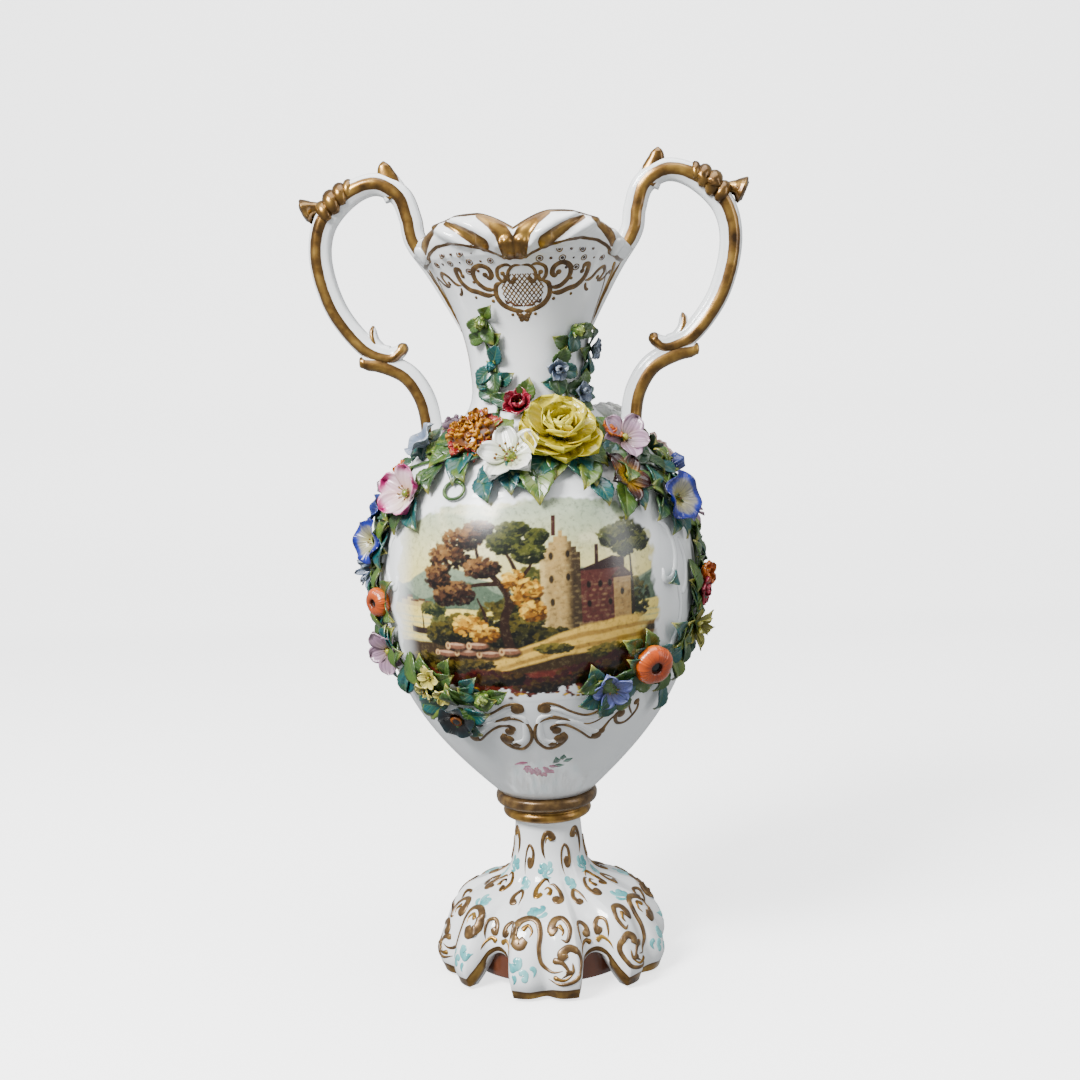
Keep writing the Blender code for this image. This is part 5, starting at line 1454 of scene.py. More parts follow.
    # the path, the near bank and a pile of felled logs
    art.lay(soft_step(-17.0 + 0.9 * rough - y, 0, 1.0), "84 66 40")
    sweep = np.abs(y - (-20.5 - 6.0 * np.tanh((4 - x) / 16.0)) + 0.5 * rough)
    art.lay(soft_step(4.8 + 0.05 * x - sweep, 0, 1.2) * soft_step(x, -20, -8) * soft_step(52 - x, 0, 8),
            "226 196 112")
    art.lay(0.7 * soft_step(1.3 - np.abs(sweep - 2.2), 0, 0.8) * soft_step(x, -18, 0), "160 128 64")
    art.foliage("34 -21 10 2.8, 12 -18.5 7 1.8", "60 60 28, 96 92 42, 140 128 62", 300, 1.0)
    for bx, by, wide in table("""-30 -21 5.6, -21 -20.2 5.6, -12 -20.6 5.2, -4 -19.4 4.2, -25.5 -17.6 4.8,
        -16.5 -17.2 4.6"""):
        art.dab(bx, by - 0.5, wide, 2.3, "58 36 30")
        art.dab(bx - 0.2, by + 0.2, wide * 0.94, 1.5, "158 118 96")
        art.dab(bx - 0.6, by + 0.8, wide * 0.8, 0.6, "214 184 158")
        art.dab(bx - wide * 0.86, by, 1.2, 1.7, "226 196 150")
        art.dab(bx - wide * 0.86, by, 0.5, 0.8, "130 86 62")
    art.lay(soft_step(-26.5 + 1.4 * rough + 0.05 * x - y, 0, 1.4), "128 66 56")
    art.lay(0.8 * soft_step(art.wavy(3.4, 8), 0.0, 0.9) * soft_step(-26 - y, 0, 2), "84 42 38")
    art.foliage("-40 -24 8 3, -30 -27 9 2.6, -18 -25 8 1.6", "44 38 22, 76 68 34, 118 104 52",
            360, 1.1)
    art.foliage("-10 -31 12 3, 6 -34 10 3, 24 -30 12 4.6, 38 -27 9 5",
            "34 20 18, 58 36 26, 96 74 34, 84 40 44", 900, 1.3)
    art.foliage("-22 -37.5 7 2, -6 -39.5 8 2, 12 -40.5 9 1.8, 26 -38 8 2.6",
            "62 36 34, 100 62 50, 150 110 60, 220 184 70", 460, 1.1)
    edge = 1.0 - (np.abs(x + 0.5) / 58.5) ** 2.8 - (np.abs(y + 0.5) / 42.0) ** 3.0
    cover = soft_step(edge * 30 + 2.6 * art.wavy(4.2, 21), 0.0, 3.4)
    ragged = soft_step(y + 38.0 + 2.4 * art.wavy(3.0, 31) + 1.2 * art.wavy(1.0, 33), -0.3, 0.5)
    cover = cover * ragged * (0.35 + 0.65 * soft_step(x, -57, -44))
    return art.colour * (0.97 + 0.03 * art.wavy(2.0, 5)[..., None]), cover


def make_landscape():
    """The picture's thin skin, a hair above the body's glaze."""
    columns, rows = 330, 236
    middle, low, high = -1.5, 133.0, 219.5
    x = np.linspace(-61.0, 61.0, columns)
    y = np.linspace(-43.0, 43.0, rows)
    lengths = np.interp(y, (-43.0, 43.0), (length_at(low * MM), length_at(high * MM)))
    radius = np.maximum(np.interp(lengths, LENGTHS, OUTLINE[:, 0]), 0.05)
    angle = math.radians(middle) + x[None, :] * MM / radius[:, None] * 1.1
    grid_x, grid_y = np.meshgrid(x, y)
    colour, cover = landscape(grid_x, grid_y)
    border = np.minimum.reduce([grid_x + 61.0, 61.0 - grid_x, grid_y + 43.0, 43.0 - grid_y])
    lift = 0.0001 * soft_step(border, 0.0, 2.0) - 0.00006
    points = body_point(angle, np.broadcast_to(lengths[:, None], angle.shape), lift)
    paint = np.concatenate([colour, np.ones((*colour.shape[:2], 1))], axis=2)
    shape = Shape(points.reshape(-1, 3), grid_faces(rows, columns, False), PICTURE,
            {"paint": paint.reshape(-1, 4), "cover": cover.ravel()})
    return gathered("painted_landscape", [shape])


# Flower forms, in millimetres, facing up
def calyx(r, h):
    return [button(0.34 * r + 0.4, 0.32 * h + 0.6, PETALS["green"], raised=-0.9, level_mark=0.55)]


def rose(r, h, glaze, seed):
    shapes = calyx(1.4 * r, h)
    for count, length, width, cup, radius, tilt, level, turn in (
            (8, 0.74, 0.98, 0.14, 0.26, 4, 0.26, 0), (7, 0.66, 0.9, 0.3, 0.2, 14, 0.38, 21),
            (6, 0.54, 0.78, 0.45, 0.15, 27, 0.46, 50),
            (5, 0.4, 0.6, 0.52, 0.11, 42, 0.54, 12), (4, 0.27, 0.44, 0.45, 0.07, 58, 0.62, 40)):
        shape = petal(length * r, width * r, cup, 0.16, 0.35, 0.04, 1.5, blunt=5.0, rows=10, columns=9)
        shapes.append(petals(shape, glaze, count, radius * r, tilt, level * h, turn, 0.09, 0.88, seed + count))
    # The near black heart: painted shade deep in the rose.
    shapes.append(button(0.1 * r, 0.05 * r, SHADED_HEART, raised=0.8 * h))
    return shapes


def marigold(r, h, glaze, seed):
    rim = PETALS["rust"] if glaze is PETALS["amber"] else glaze
    shapes = calyx(r, h) + [
        petals(petal(0.52 * r, 0.4 * r, 0.05, 0.12, 0.3, 0.4, blunt=3.0), rim, 14, 0.5 * r, 0, 0.16 * h, 0, 0.12, 0.8,
            seed),
        petals(petal(0.4 * r, 0.3 * r, 0.1, 0.1, 0.5, 0.4, blunt=3.0), rim, 16, 0.52 * r, 14, 0.26 * h, 9, 0.12, 0.8,
            seed + 1),
        button(0.74 * r, 0.62 * h, glaze, raised=0.16 * h, level_mark=0.05)]
    for count, share, tilt in ((26, 0.94, 22), (22, 0.78, 38), (17, 0.6, 52), (12, 0.42, 64), (7, 0.24, 74),
            (3, 0.08, 84)):
        floret = petal(0.25 * r, 0.24 * r, 0.15, 0.35, 1.1, 0.7, 1.5, blunt=3.0, notch=0.2, thick=0.45, rows=6,
                columns=5)
        level = h * (0.16 + 0.62 * math.sqrt(1 - share ** 2) - 0.02)
        shapes.append(petals(floret, glaze, count, 0.72 * r * share, tilt, level, 7 * count, 0.3, 0.72, seed + count))
    return shapes


def anemone(r, h, glaze, seed):
    return calyx(r, h) + [
        petals(petal(0.94 * r, 0.92 * r, 0.2, 0.12, 0.5, 0.1, blunt=3.2, point=0.3, rows=11, columns=9), glaze, 5,
            0.1 * r, 9,
            0.34 * h, 12, 0.08, 0.88, seed),
        button(0.2 * r, 0.16 * r, STAMEN, raised=0.4 * h, level_mark=0.05),
        petals(stamen(0.44 * r, 0.26, 0.7), STAMEN, 9, 0.1 * r, 42, 0.42 * h, 0, 0.22, 0.8, seed + 2),
        petals(stamen(0.34 * r, 0.26, 0.7), STAMEN, 5, 0.04 * r, 66, 0.44 * h, 20, 0.25, 0.8, seed + 3)]


def open_bloom(r, h, glaze, seed, count=5, width=0.9, tip=0.0):
    """One ring of broad petals about a small heart, as on violets and pansies."""
    return calyx(r, h) + [
        petals(petal(0.9 * r, width * r, 0.2, 0.24, 0.35, 0.22, blunt=3.0, point=tip, rows=10, columns=9), glaze,
            count, 0.1 * r,
            14, 0.34 * h, 18, 0.12, 0.84, seed),
        button(0.13 * r, 0.12 * r, STAMEN, raised=0.44 * h, level_mark=0.42),
        petals(stamen(0.22 * r, 0.2, 0.42), STAMEN, 5, 0.07 * r, 50, 0.44 * h, 0, 0.2, 0.8, seed + 1)]


def ragged_bloom(r, h, glaze, seed):
    """Two rings of narrow, pointed petals."""
    return open_bloom(r, h, glaze, seed, 6, 0.52, 0.6) + [
        petals(petal(0.62 * r, 0.36 * r, 0.35, 0.1, 0.5, 0.3, blunt=2.2, point=0.5), glaze, 6, 0.1 * r, 34, 0.42 * h,
            40, 0.15, 0.8,
            seed + 5)]


def pansy(r, h, glaze, seed):
    return calyx(r, h) + [
        petals(petal(0.92 * r, 0.84 * r, 0.12, 0.2, 0.3, 0.3, blunt=2.8, point=0.5, rows=11, columns=9),
            PETALS["pansy"], 5, 0.1 * r,
            10, 0.3 * h, 30, 0.1, 0.9, seed),
        button(0.12 * r, 0.1 * r, STAMEN, raised=0.46 * h, level_mark=0.42)]


def cupped_bloom(r, h, glaze, seed):
    return calyx(r, h) + [
        petals(petal(0.86 * r, 0.84 * r, 0.4, 0.22, 0.45, 0.16, blunt=3.4), glaze, 6, 0.14 * r, 22, 0.2 * h, 0,
            0.1, 0.88, seed),
        petals(petal(0.62 * r, 0.66 * r, 0.45, 0.1, 0.6, 0.16, blunt=3.4), glaze, 5, 0.12 * r, 44, 0.28 * h,
            30, 0.12, 0.86,
            seed + 1),
        # The near black heart: painted shade deep in the cup.
        button(0.2 * r, 0.14 * r, SHADED_HEART, raised=0.4 * h),
        petals(stamen(0.34 * r, 0.2, 0.45), STAMEN, 7, 0.08 * r, 62, 0.42 * h, 0, 0.25, 0.8, seed + 2)]


def wild_rose(r, h, glaze, seed):
    return calyx(r, h) + [
        petals(petal(0.98 * r, 1.04 * r, 0.3, 0.16, 0.42, 0.26, blunt=3.6, notch=0.14, rows=11, columns=11), glaze, 5,
            0.1 * r, 16,
            0.28 * h, 0, 0.08, 0.94, seed),
        button(0.15 * r, 0.14 * r, STAMEN, raised=0.4 * h, level_mark=0.05),
        petals(stamen(0.32 * r, 0.22, 0.5), STAMEN, 11, 0.09 * r, 48, 0.4 * h, 0, 0.22, 0.8, seed + 3)]


def bell(r, h, glaze, seed, lobes=5, heart=None):
    """A trumpet with a waved mouth: outside from the stem, over the rim, and down its throat."""
    line = rounded_line(table(""".1 -.06 .7, .17 .16 .76, .26 .44 .8, .5 .74 .86, .86 .93 .94, 1 .95 1,
        .93 1 .93, .64 .88 .66, .36 .66 .44, .2 .42 .22, .03 .3 .02"""), 4)
    turn = round_angles(45)[None, :] + 0.4 * seed
    share = line[:, :1]
    wave = 1 + 0.09 * share ** 3 * np.cos(lobes * turn) + 0.02 * np.cos(2 * turn + seed)
    x, y = r * share * wave * np.cos(turn), r * share * wave * np.sin(turn)
    z = h * (line[:, 1:2] - 0.1 * share ** 3 * np.cos(lobes * turn)) + 0.06 * r * share ** 2 * np.cos(lobes * turn
            + 2.6) + 0 * turn
    marks = {"reach": np.broadcast_to(line[:, 2:], x.shape).copy(),
            "aside": np.broadcast_to(np.abs(np.sin(0.5 * lobes * turn)), x.shape).copy()}
    shapes = calyx(0.8 * r, h) + [capped_rows(np.stack([x, y, z], axis=-1) * MM, glaze, marks)]
    if heart:
        shapes.append(tube([(0, 0, 0.3 * h * MM), (0, 0, 0.66 * h * MM), (0, 0, 0.8 * h * MM)],
                np.array([0.2, 0.27, 0.33]) * r * MM, heart, 14))
        # A near black disc at the tube's mouth: painted shade.
        shapes.append(button(0.2 * r, 0.02 * r, SHADED_HEART, raised=0.83 * h))
    else:
        shapes.append(petals(stamen(0.45 * h, 0.2, 0.42), STAMEN, 3, 0.03 * r, 82, 0.36 * h, 0, 0.12, 0.8, seed))
    return shapes


def ball(r, h, glaze, seed):
    """A closed globe of petals with a small mouth darkened with painted shade."""
    line = rounded_line(table(""".3 0 .95, .78 .1 .95, 1 .42 .85, .95 .74 .7, .72 .96 .55, .44 1.02 .4,
        .29 .96 .14, .25 .8 .05"""), 4)
    turn = round_angles(50)[None, :] + 0.3 * seed
    seam = np.abs(np.sin(2.5 * turn + 0.5 * line[:, 1:2])) ** 0.35
    radius = 0.94 * r * line[:, :1] * (0.9 + 0.1 * seam)
    rows = np.stack([radius * np.cos(turn), radius * np.sin(turn), h * 1.15 * line[:, 1:2] + 0 * turn], axis=-1) * MM
    marks = {"reach": np.broadcast_to(line[:, 2:], radius.shape) * (0.72 + 0.28 * seam),
            "aside": np.broadcast_to(np.abs(np.sin(2.5 * turn)), radius.shape).copy()}
    # The near black mouth: painted shade.
    return calyx(1.1 * r, h) + [capped_rows(rows, glaze, marks), button(0.27 * r, 0.06 * h, SHADED_HEART, raised=0.9 * h)]


def small_bloom(r, h, glaze, seed):
    return calyx(r, h) + [
        petals(petal(0.92 * r, 0.96 * r, 0.28, 0.24, 0.4, 0.18, blunt=3.2, rows=8, columns=7), glaze, 5, 0.08 * r, 18,
            0.4 * h, 0,
            0.12, 0.88, seed),
        petals(petal(0.52 * r, 0.56 * r, 0.45, 0.1, 0.6, 0.1, rows=7, columns=5), glaze, 4, 0.08 * r, 46, 0.48 * h,
            30, 0.15, 0.85,
            seed + 1),
        # The near black heart: painted shade among the petals.
        button(0.16 * r, 0.12 * r, SHADED_HEART, raised=0.66 * h)]


def bud(r, h, glaze, seed):
    return calyx(1.3 * r, h) + [
        petals(petal(1.05 * h, 1.25 * r, 0.34, -0.1, 0.9, 0.05, blunt=2.6, point=0.2), glaze, 4, 0.34 * r, 58, 0.0, 0,
            0.08, 0.94, seed),
        petals(petal(0.6 * h + 0.8, 0.62 * r + 0.5, 0.25, 0.1, 0.5, 0.1, blunt=2.0, point=0.6), PETALS["green"], 4,
            0.4 * r, 46,
            -0.3, 45, 0.1, 0.9, seed + 1)]


def cluster(r, h, glaze, seed):
    """Three small primroses together."""
    shapes = calyx(1.2 * r, h)
    for turn, away, size in ((80, 0.52, 0.62), (200, 0.56, 0.58), (325, 0.54, 0.56)):
        place = Matrix.Translation(Vector((away * r * math.cos(math.radians(turn)),
                away * r * math.sin(math.radians(turn)),
                0.12 * h)) * MM)
        lean = Matrix.Rotation(math.radians(16), 4,
                Vector((-math.sin(math.radians(turn)), math.cos(math.radians(turn)), 0)))
        shapes += [shape.moved(place @ lean) for shape in open_bloom(size * r, 0.8 * h, glaze, seed + turn, 6, 0.8)]
    return shapes


def auricula(r, h, glaze, seed):
    return bell(r, h, glaze, seed, 6, TUBE_HEART)


def flower_frame(degrees, share, lift, nod, swing):
    """Stands a bloom on the body: it faces outwards, and leans down by its nod and sideways by its swing."""
    angle, length = math.radians(degrees), share * TOTAL
    across = Vector((math.cos(angle), math.sin(angle), 0.0))
    upwards = Vector(body_point(angle, length + 0.0005) - body_point(angle, length - 0.0005)).normalized()
    facing = Matrix((across, upwards, across.cross(upwards))).transposed().to_4x4()
    lean = Matrix.Rotation(math.radians(nod), 4, "X") @ Matrix.Rotation(math.radians(swing), 4, "Y")
    return Matrix.Translation(Vector(body_point(angle, length, lift * MM))) @ facing @ lean


def leaf(degrees, share, turn, start, length, tint, width=None, lift=2.4, bend=0.0):
    """A pointed leaf with toothed edges over the body, lifted at its tip; turn is clockwise from straight up."""
    rows, columns = 15, 9
    width = width or (0.3 * length + 3.4)
    t = np.linspace(0, 1, rows)[:, None]
    u = np.linspace(-1, 1, columns)[None, :]
    teeth = 1 + 0.1 * (np.arange(rows)[:, None] % 2) * (t < 0.95)
    half = 0.5 * width * (0.1 + 0.9 * np.sin(math.pi * t ** 0.82) ** 0.85) * teeth * (1 - 0.85 * t ** 8)
    away = start + (length - start) * t
    aside = half * u + bend * length * t ** 2
    turn = math.radians(turn)
    up = away * math.cos(turn) - aside * math.sin(turn)
    across = away * math.sin(turn) + aside * math.cos(turn)
    place = share * TOTAL + up * MM
    angle = math.radians(degrees) + across * MM / np.maximum(np.interp(place, LENGTHS, OUTLINE[:, 0]), 0.02)
    rise = 0.9 + lift * np.sin(1.75 * t) ** 1.4 + 0.3 * half * np.abs(u) - 0.5 * t ** 6 * lift + 0.25 * np.sin(7 * t
            + 3 * u)
    top = body_point(angle, place, rise * MM)
    thick = top - body_point(angle, place, (rise - 0.65) * MM)
    shape = np.ones((rows, columns))
    return leafed(top, thick, LEAF, {"reach": t * shape, "aside": np.abs(u) * shape, "tint": np.full((rows, columns),
            tint)})


def stem(points, width=0.9, lift=0.9, tint=0.35):
    """A green stem through places given as degrees and shares of the outline."""
    line = rounded_line(points, 8)
    path = body_point(np.radians(line[:, 0]), line[:, 1] * TOTAL, lift * MM)
    return tube(path, np.linspace(width, 0.7 * width, len(path)) * MM, LEAF, 8, {"tint": tint})


# Node, form, glaze, degrees from the front, share of the outline, radius, height, nod, swing and slot,
# then its leaves by direction, length and tint
BLOOMS = """yellow_rose rose yellow 19 .668 19.5 12.2 6 0 yellow_petals: 214 27 .55, 160 26 .62, 128 25 .35, 190 22 .2, 96 23 .5
amber_marigold marigold amber -28 .676 15 9.2 4 4 amber_petals: 186 25 .6, 222 25 .3, 262 23 .45, 300 20 .25
white_anemone anemone white -5 .63 14 7 4 -4 white_petals: 222 18 .66, 150 20 .5, 180 17 .75
crimson_bloom cupped_bloom crimson -5 .748 8.4 5.6 -6 0 crimson_petals: 290 14 .5, 24 14 .3
amber_pansy pansy amber 44 .586 12 6.2 4 8 amber_petals: 110 17 .3, 206 19 .28, 158 16 .62
orange_brown_bloom small_bloom orange 51 .668 6.6 4.4 4 10 orange_petals: 20 13 .3, 110 12 .5
lilac_bell open_bloom lilac 58 .652 12.6 8.4 14 -24 lilac_petals: 148 15 .45, 30 12 .3
blue_convolvulus bell blue 68 .538 10.8 8.4 6 -14 blue_petals: 210 17 .58, 164 18 .7, 262 15 .35, 38 15 .2
navy_bud bud navy 91 .585 6 6.6 0 0 navy_petals: 300 12 .4, 60 13 .55
lilac_star ragged_bloom lilac 92 .512 9.4 6.4 0 -14 lilac_petals: 165 16 .62, 216 18 .3, 70 14 .5
orange_bloom_right cupped_bloom orange 84 .412 8.6 6.4 8 -18 orange_petals: 335 16 .3, 262 15 .62, 80 14 .5
crimson_bloom_right small_bloom crimson 80 .388 7.6 5.6 8 -8 crimson_petals: 290 15 .35, 100 14 .62
olive_bloom ragged_bloom olive 76 .336 10.6 7.4 8 -22 olive_petals: 120 15 .25, 190 14 .55, 256 14 .4
orange_ranunculus ball orange 46 .302 9.2 7.4 4 -18 orange_petals: 75 15 .6, 150 14 .35, 350 15 .25, 298 13 .66
violet open_bloom violet 30 .268 10.4 5.8 6 -6 blue_petals: 142 15 .35, 242 15 .62, 190 13 .3
wild_rose wild_rose blush -53 .567 12.4 7.4 6 14 pink_petals: 134 20 .64, 184 18 .4, 238 19 .55, 60 15 .3, 300 16 .22
slate_bell bell slate -60 .65 8.6 7.8 4 -6 slate_petals: 320 16 .5, 98 13 .3, 250 14 .62
small_orange_bloom small_bloom orange -77 .596 5.8 3.8 0 0 orange_petals: 110 13 .4
mauve_bud bud lilac -88 .562 5.4 6.4 0 0 lilac_petals: 265 12 .3, 20 11 .6
navy_bell bell navy -80 .53 6.6 6.2 0 8 navy_petals: 68 16 .25, 122 16 .62, 250 14 .5
blue_white_convolvulus bell blue -74 .484 9.6 8.2 4 24 blue_petals: 96 17 .6, 60 16 .3, 282 16 .4
grey_lilac_bloom ragged_bloom slate -86 .434 11.6 8.6 0 26 lilac_petals: 175 16 .35, 265 14 .62, 118 16 .3
orange_bloom_left ball orange -64 .396 6.8 5.8 4 22 orange_petals: 45 15 .35, 120 14 .28, 195 14 .64
lilac_bloom_left open_bloom lilac -64 .318 11 7 6 34 lilac_petals: 40 16 .3, 92 15 .25, 185 14 .6, 250 15 .35
primrose cluster primrose -38 .274 10 5.8 8 4 yellow_petals: 350 15 .3, 58 14 .35, 250 15 .25
dark_auricula auricula dark -30 .226 8.2 6.2 6 8 navy_petals: 85 15 .66, 210 14 .64, 140 13 .58
green_bud bud green -17 .262 4.8 4.4 0 0 green_leaves: 80 11 .3, 285 12 .6
neck_bud_left bud green -32 .89 4 4.2 20 0 green_leaves: 168 12 .3, 240 9 .3, 40 9 .25
neck_teal_bud bud teal -30 .815 3.4 3.2 0 0 green_leaves: 170 13 .5, 230 11 .62, 30 11 .66
neck_lilac_bloom small_bloom slate 30 .806 5.8 4.2 0 0 lilac_petals: 176 13 .45, 96 11 .62, 20 11 .3
neck_bud_right bud green 50 .868 4 4.2 0 0 green_leaves: 90 11 .3, 200 11 .55
neck_slate_bloom small_bloom slate 82 .836 6.2 4.4 0 0 slate_petals: 335 11 .5, 195 13 .62
neck_blue_bloom small_bloom slate 58 .766 5.6 4.2 0 0 blue_petals: 20 12 .3, 100 12 .6
back_white_camellia rose white 136 .662 14.4 8.4 4 0 white_petals: 175 22 .45, 240 21 .3, 90 19 .6
back_peach_bloom cupped_bloom peach 112 .604 9.8 6 4 0 pink_petals: 30 15 .35, 170 17 .62
back_blue_star open_bloom violet 161 .61 9.8 5.6 4 0 blue_petals: 200 17 .35, 140 16 .6
back_crimson_peony rose crimson 186 .672 14.8 8.8 4 0 crimson_petals: 180 24 .55, 0 20 .3, 215 22 .4
back_yellow_bloom cupped_bloom yellow 211 .61 9.8 6 4 0 yellow_petals: 200 17 .3, 150 17 .6
back_lilac_camellia marigold lilac 236 .658 13 7.8 4 0 lilac_petals: 190 21 .5, 130 20 .3, 270 18 .6
back_orange_bloom ball orange 112 .462 7.4 5.4 0 0 orange_petals: 345 18 .35, 170 18 .62
back_violet open_bloom violet 122 .352 8.4 5 0 0 blue_petals: 340 16 .6, 140 17 .3
back_pink_bloom cupped_bloom blush 248 .462 7.8 5.4 0 0 pink_petals: 15 18 .6, 190 18 .35
back_navy_bloom bell navy 238 .352 8 6 0 0 navy_petals: 20 16 .35, 220 18 .6"""
FORMS = {form.__name__: form for form in (
    rose, marigold, anemone, cupped_bloom, pansy, small_bloom, open_bloom, bell, bud, ragged_bloom, ball, wild_rose,
        cluster, auricula)}


def make_blooms():
    for number, row in enumerate(BLOOMS.splitlines()):
        row, leaves = row.split(":")
        node, form, glaze, *sizes, slot = row.split()
        degrees, share, radius, height, nod, swing = map(float, sizes)
        place = flower_frame(degrees, share, 0.8, nod, swing)
        shapes = [shape.moved(place) for shape in FORMS[form](radius, height, PETALS[glaze], 17 * number + 5)]
        for turn, length, tint in table(leaves):
            shapes.append(leaf(degrees, share, turn, 0.18 * radius, length, tint, bend=0.1 * math.sin(turn)))
        gathered(node, shapes, node)


# Broad leaves of the garlands: degrees from the front, share of the outline, direction, length, tint
LARGE_LEAVES = table("""6 .635 178 23 .24, -17 .608 160 15 .7, -42 .618 205 13 .3, -30 .63 150 13 .24,
    12 .637 110 13 .7, 27 .63 172 16 .36, 40 .642 150 14 .4, 29 .596 165 15 .7, 70 .592 190 19 .18,
    -84 .619 230 12 .5, 66 .623 160 13 .4, -83 .587 200 14 .22, -82 .556 190 15 .18, -65 .543 178 17 .16,
    -65 .507 172 18 .68, -67 .455 182 13 .26, -66 .419 150 11 .55, -78 .367 188 14 .36, -78 .33 150 13 .66,
    -49 .325 160 16 .28, -57 .336 190 13 .3, -24 .255 84 14 .28, -26 .269 50 12 .66, -32 .291 30 11 .3,
    91 .519 165 15 .3, 90 .481 165 17 .7, 73 .443 182 16 .28, 61 .429 250 10 .72, 73 .404 178 15 .32,
    74 .369 175 14 .26, 69 .33 200 15 .5, 61 .305 170 14 .34, 44 .272 262 15 .62, 59 .255 190 13 .66,
    42 .32 300 13 .3, 27 .293 240 13 .36, 31 .263 200 13 .6""")


def make_garland_leaves():
    """The leaves that fill the garlands between the blooms, and the stems that they grow from."""
    chance = np.random.default_rng(23)
    garlands = ((table("-80 .6, -58 .62, -30 .645, -6 .66, 20 .64, 42 .62, 66 .6, 88 .57"), 26),
            (table("-62 .57, -76 .52, -82 .45, -80 .39, -68 .34, -52 .29, -36 .25, -20 .245"), 32),
            (table("60 .56, 80 .51, 88 .45, 80 .38, 70 .33, 54 .3, 36 .275, 22 .26"), 32),
            (table("96 .6, 124 .64, 150 .62, 180 .64, 208 .63, 236 .63, 262 .6"), 24),
            (table("100 .54, 110 .46, 118 .38, 124 .33"), 10), (table("258 .54, 250 .46, 242 .38, 236 .33"), 10))
    shapes = []
    for points, count in garlands:
        line = rounded_line(points, 12)
        shapes.append(stem(points, 0.8, 0.7))
        for number in range(count):
            spot = line[int((number + chance.uniform(0.1, 0.9)) / count * (len(line) - 1))]
            turn, tint = chance.uniform(0, 360), chance.choice([0.16, 0.26, 0.34, 0.46, 0.58, 0.66])
            shapes.append(leaf(spot[0] + chance.uniform(-2, 2), spot[1] + chance.uniform(-0.008, 0.008), turn, 0.5,
                    chance.uniform(10.0, 16.5), tint, lift=chance.uniform(2.0, 5.0),
                    bend=chance.uniform(-0.12, 0.12)))
    for degrees, share, turn, length, tint in LARGE_LEAVES:
        shapes.append(leaf(degrees, share, turn, 0.5, length, tint, width=0.56 * length, lift=3.4))
    loop = [(-28.0 + 4.6 * math.cos(a), 0.578 + 0.014 * math.sin(a)) for a in np.linspace(0.6, 2 * math.pi + 0.9, 14)]
    shapes.append(stem(loop, 0.9, 1.4, 0.36))
    gathered("garland_leaves", shapes)


def make_neck_sprays():
    """Two sprays that climb the neck."""
    left = table("-24 .735, -26 .775, -31 .815, -34 .85, -32 .885")
    right = table("44 .735, 42 .77, 36 .8, 44 .835, 50 .865")
    shapes = [stem(left, 0.75), stem(right, 0.75), stem(table("60 .765, 70 .8, 80 .835"), 0.7)]
    for degrees, share, turn, length, tint in table("""-30 .8 240 11 .66, -28 .785 60 10 .6,
        -25 .76 300 12 .5, -26 .745 50 12 .34, -33 .85 60 9 .3, -34 .862 265 9 .26, -24 .74 200 12 .5,
        44 .84 300 10 .34, 48 .856 60 10 .3, 40 .78 280 11 .62, 41 .772 80 11 .46, 44 .75 250 13 .46,
        46 .745 110 12 .3, 66 .79 30 10 .6, 76 .82 300 10 .34"""):
        shapes.append(leaf(degrees, share, turn, 0.5, length, tint, lift=1.8))
    gathered("neck_sprays", shapes)


# Stage, light and camera
def plain_surface(name, colour, roughness):
    glaze = Glaze(name, colour, roughness)
    glaze.base(glaze.ramp(glaze.noise(2.2, 2.0), (0.3, [0.985 * c for c in colour]), (0.7, colour)))
    glaze.shade(Emission_Color=(1.0, 1.0, 1.0), Emission_Strength=2.0)
    return glaze.material


def make_stage():
    """A pale floor that sweeps up behind the vase."""
    profile = table("-1.2 0, .5 0, .9 .02, 1.15 .15, 1.3 .45, 1.32 1.6")
    line = rounded_line(profile, 8)
    x = np.linspace(-2.4, 2.4, 9)
    points = [(float(across), float(back), float(height)) for back, height in line for across in x]
    mesh = bpy.data.meshes.new("pale_sweep")
    mesh.from_pydata(points, [], [tuple(face) for face in grid_faces(len(line), len(x), False).tolist()])
    mesh.polygons.foreach_set("use_smooth", [True] * len(mesh.polygons))
    mesh.materials.append(plain_surface("pale_paper", (0.85, 0.85, 0.85), 0.75))
    item = bpy.data.objects.new("pale_sweep", mesh)
    item.visible_diffuse = False
    item.visible_glossy = False
    bpy.context.scene.collection.objects.link(item)


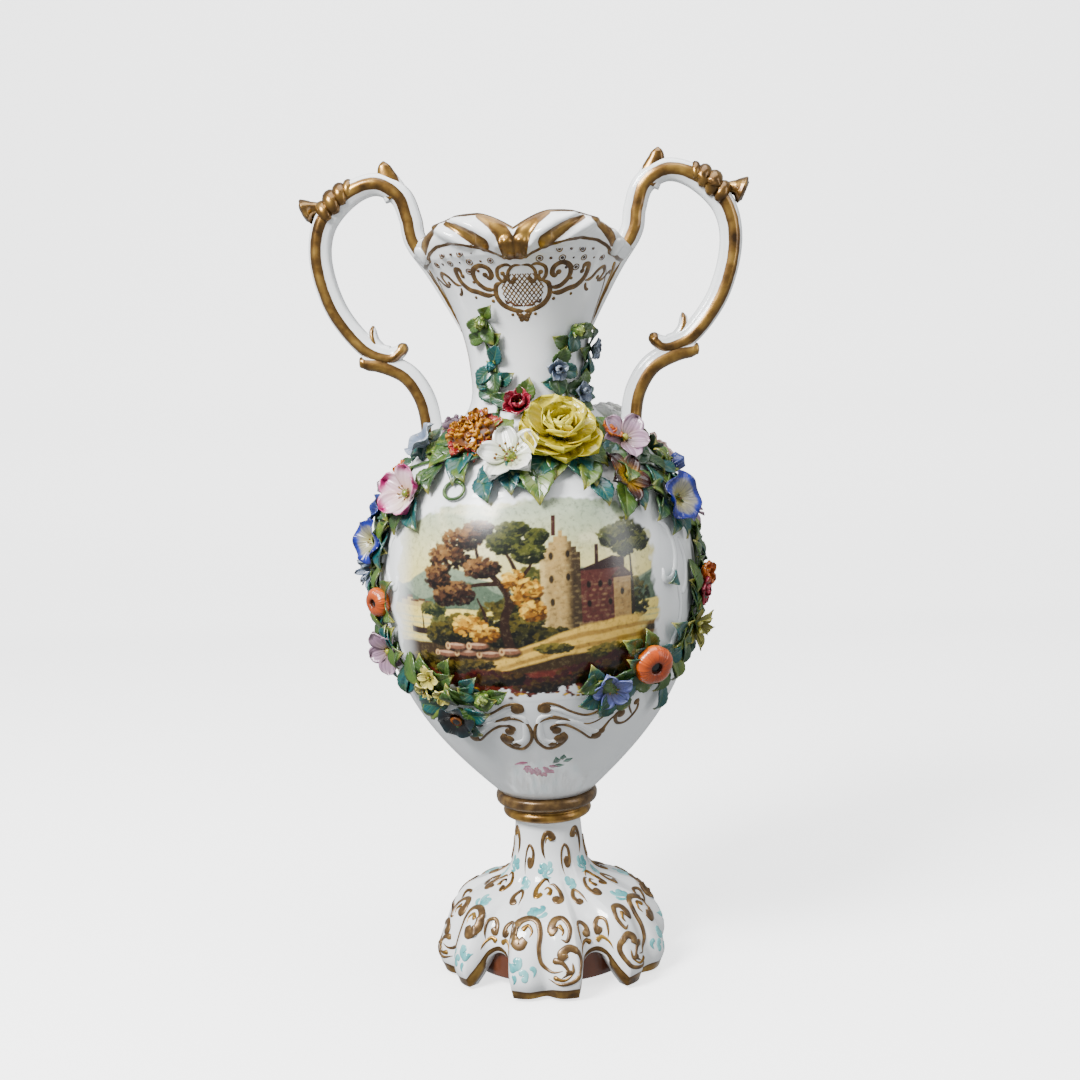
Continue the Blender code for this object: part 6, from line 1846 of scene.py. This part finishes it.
def lamp(name, place, size, power):
    light = bpy.data.lights.new(name, "AREA")
    light.shape = "RECTANGLE"
    light.size, light.size_y = size
    light.energy = power
    item = bpy.data.objects.new(name, light)
    item.location = place
    item.rotation_euler = (Vector((0.0, 0.0, 0.19)) - Vector(place)).to_track_quat("-Z", "Y").to_euler()
    bpy.context.scene.collection.objects.link(item)


def make_light():
    lamp("key_light", (-0.75, -0.85, 1.15), (0.55, 0.55), 64)
    lamp("top_light", (0.1, -0.1, 1.35), (1.1, 0.9), 16)
    lamp("side_light", (1.1, -0.45, 0.55), (0.4, 0.9), 5)
    world = bpy.data.worlds.new("white_room")
    world.use_nodes = True
    world.node_tree.nodes["Background"].inputs["Color"].default_value = (0.95, 0.98, 1.0, 1.0)
    world.node_tree.nodes["Background"].inputs["Strength"].default_value = 0.52
    bpy.context.scene.world = world


def make_camera():
    """A long lens a little above the rim's height, turned to the right by five degrees and tilted."""
    around, down, roll = math.radians(4.8), math.radians(7.37), math.radians(2.45)
    back = Vector((math.sin(around), -math.cos(around), 0.0))
    look = (-back * math.cos(down) - Vector((0, 0, math.sin(down)))).normalized()
    right = look.cross(Vector((0, 0, 1))).normalized()
    above = right.cross(look)
    right, above = right * math.cos(roll) - above * math.sin(roll), right * math.sin(roll) + above * math.cos(roll)
    camera = bpy.data.cameras.new("front_camera")
    camera.lens, camera.sensor_width = 51.2, 36.0
    camera.shift_x = 4 / 1080
    camera.dof.use_dof = False
    item = bpy.data.objects.new("front_camera", camera)
    turn = Matrix((right, above, -look)).transposed()
    item.matrix_world = Matrix.Translation(back * 0.68 + Vector((0, 0, 0.281))) @ turn.to_4x4()
    bpy.context.scene.collection.objects.link(item)
    bpy.context.scene.camera = item


make_body()
make_volutes()
make_dotted_ground()
make_neck_border()
make_belly_scrolls()
make_frame_relief()
make_painted_sprigs()
make_landscape()
make_handle("left_handle", "handle_left", -1)
make_handle("right_handle", "handle_right", 1)
make_foot()
make_foot_ornament()
make_blooms()
make_garland_leaves()
make_neck_sprays()
make_stage()
make_light()
make_camera()
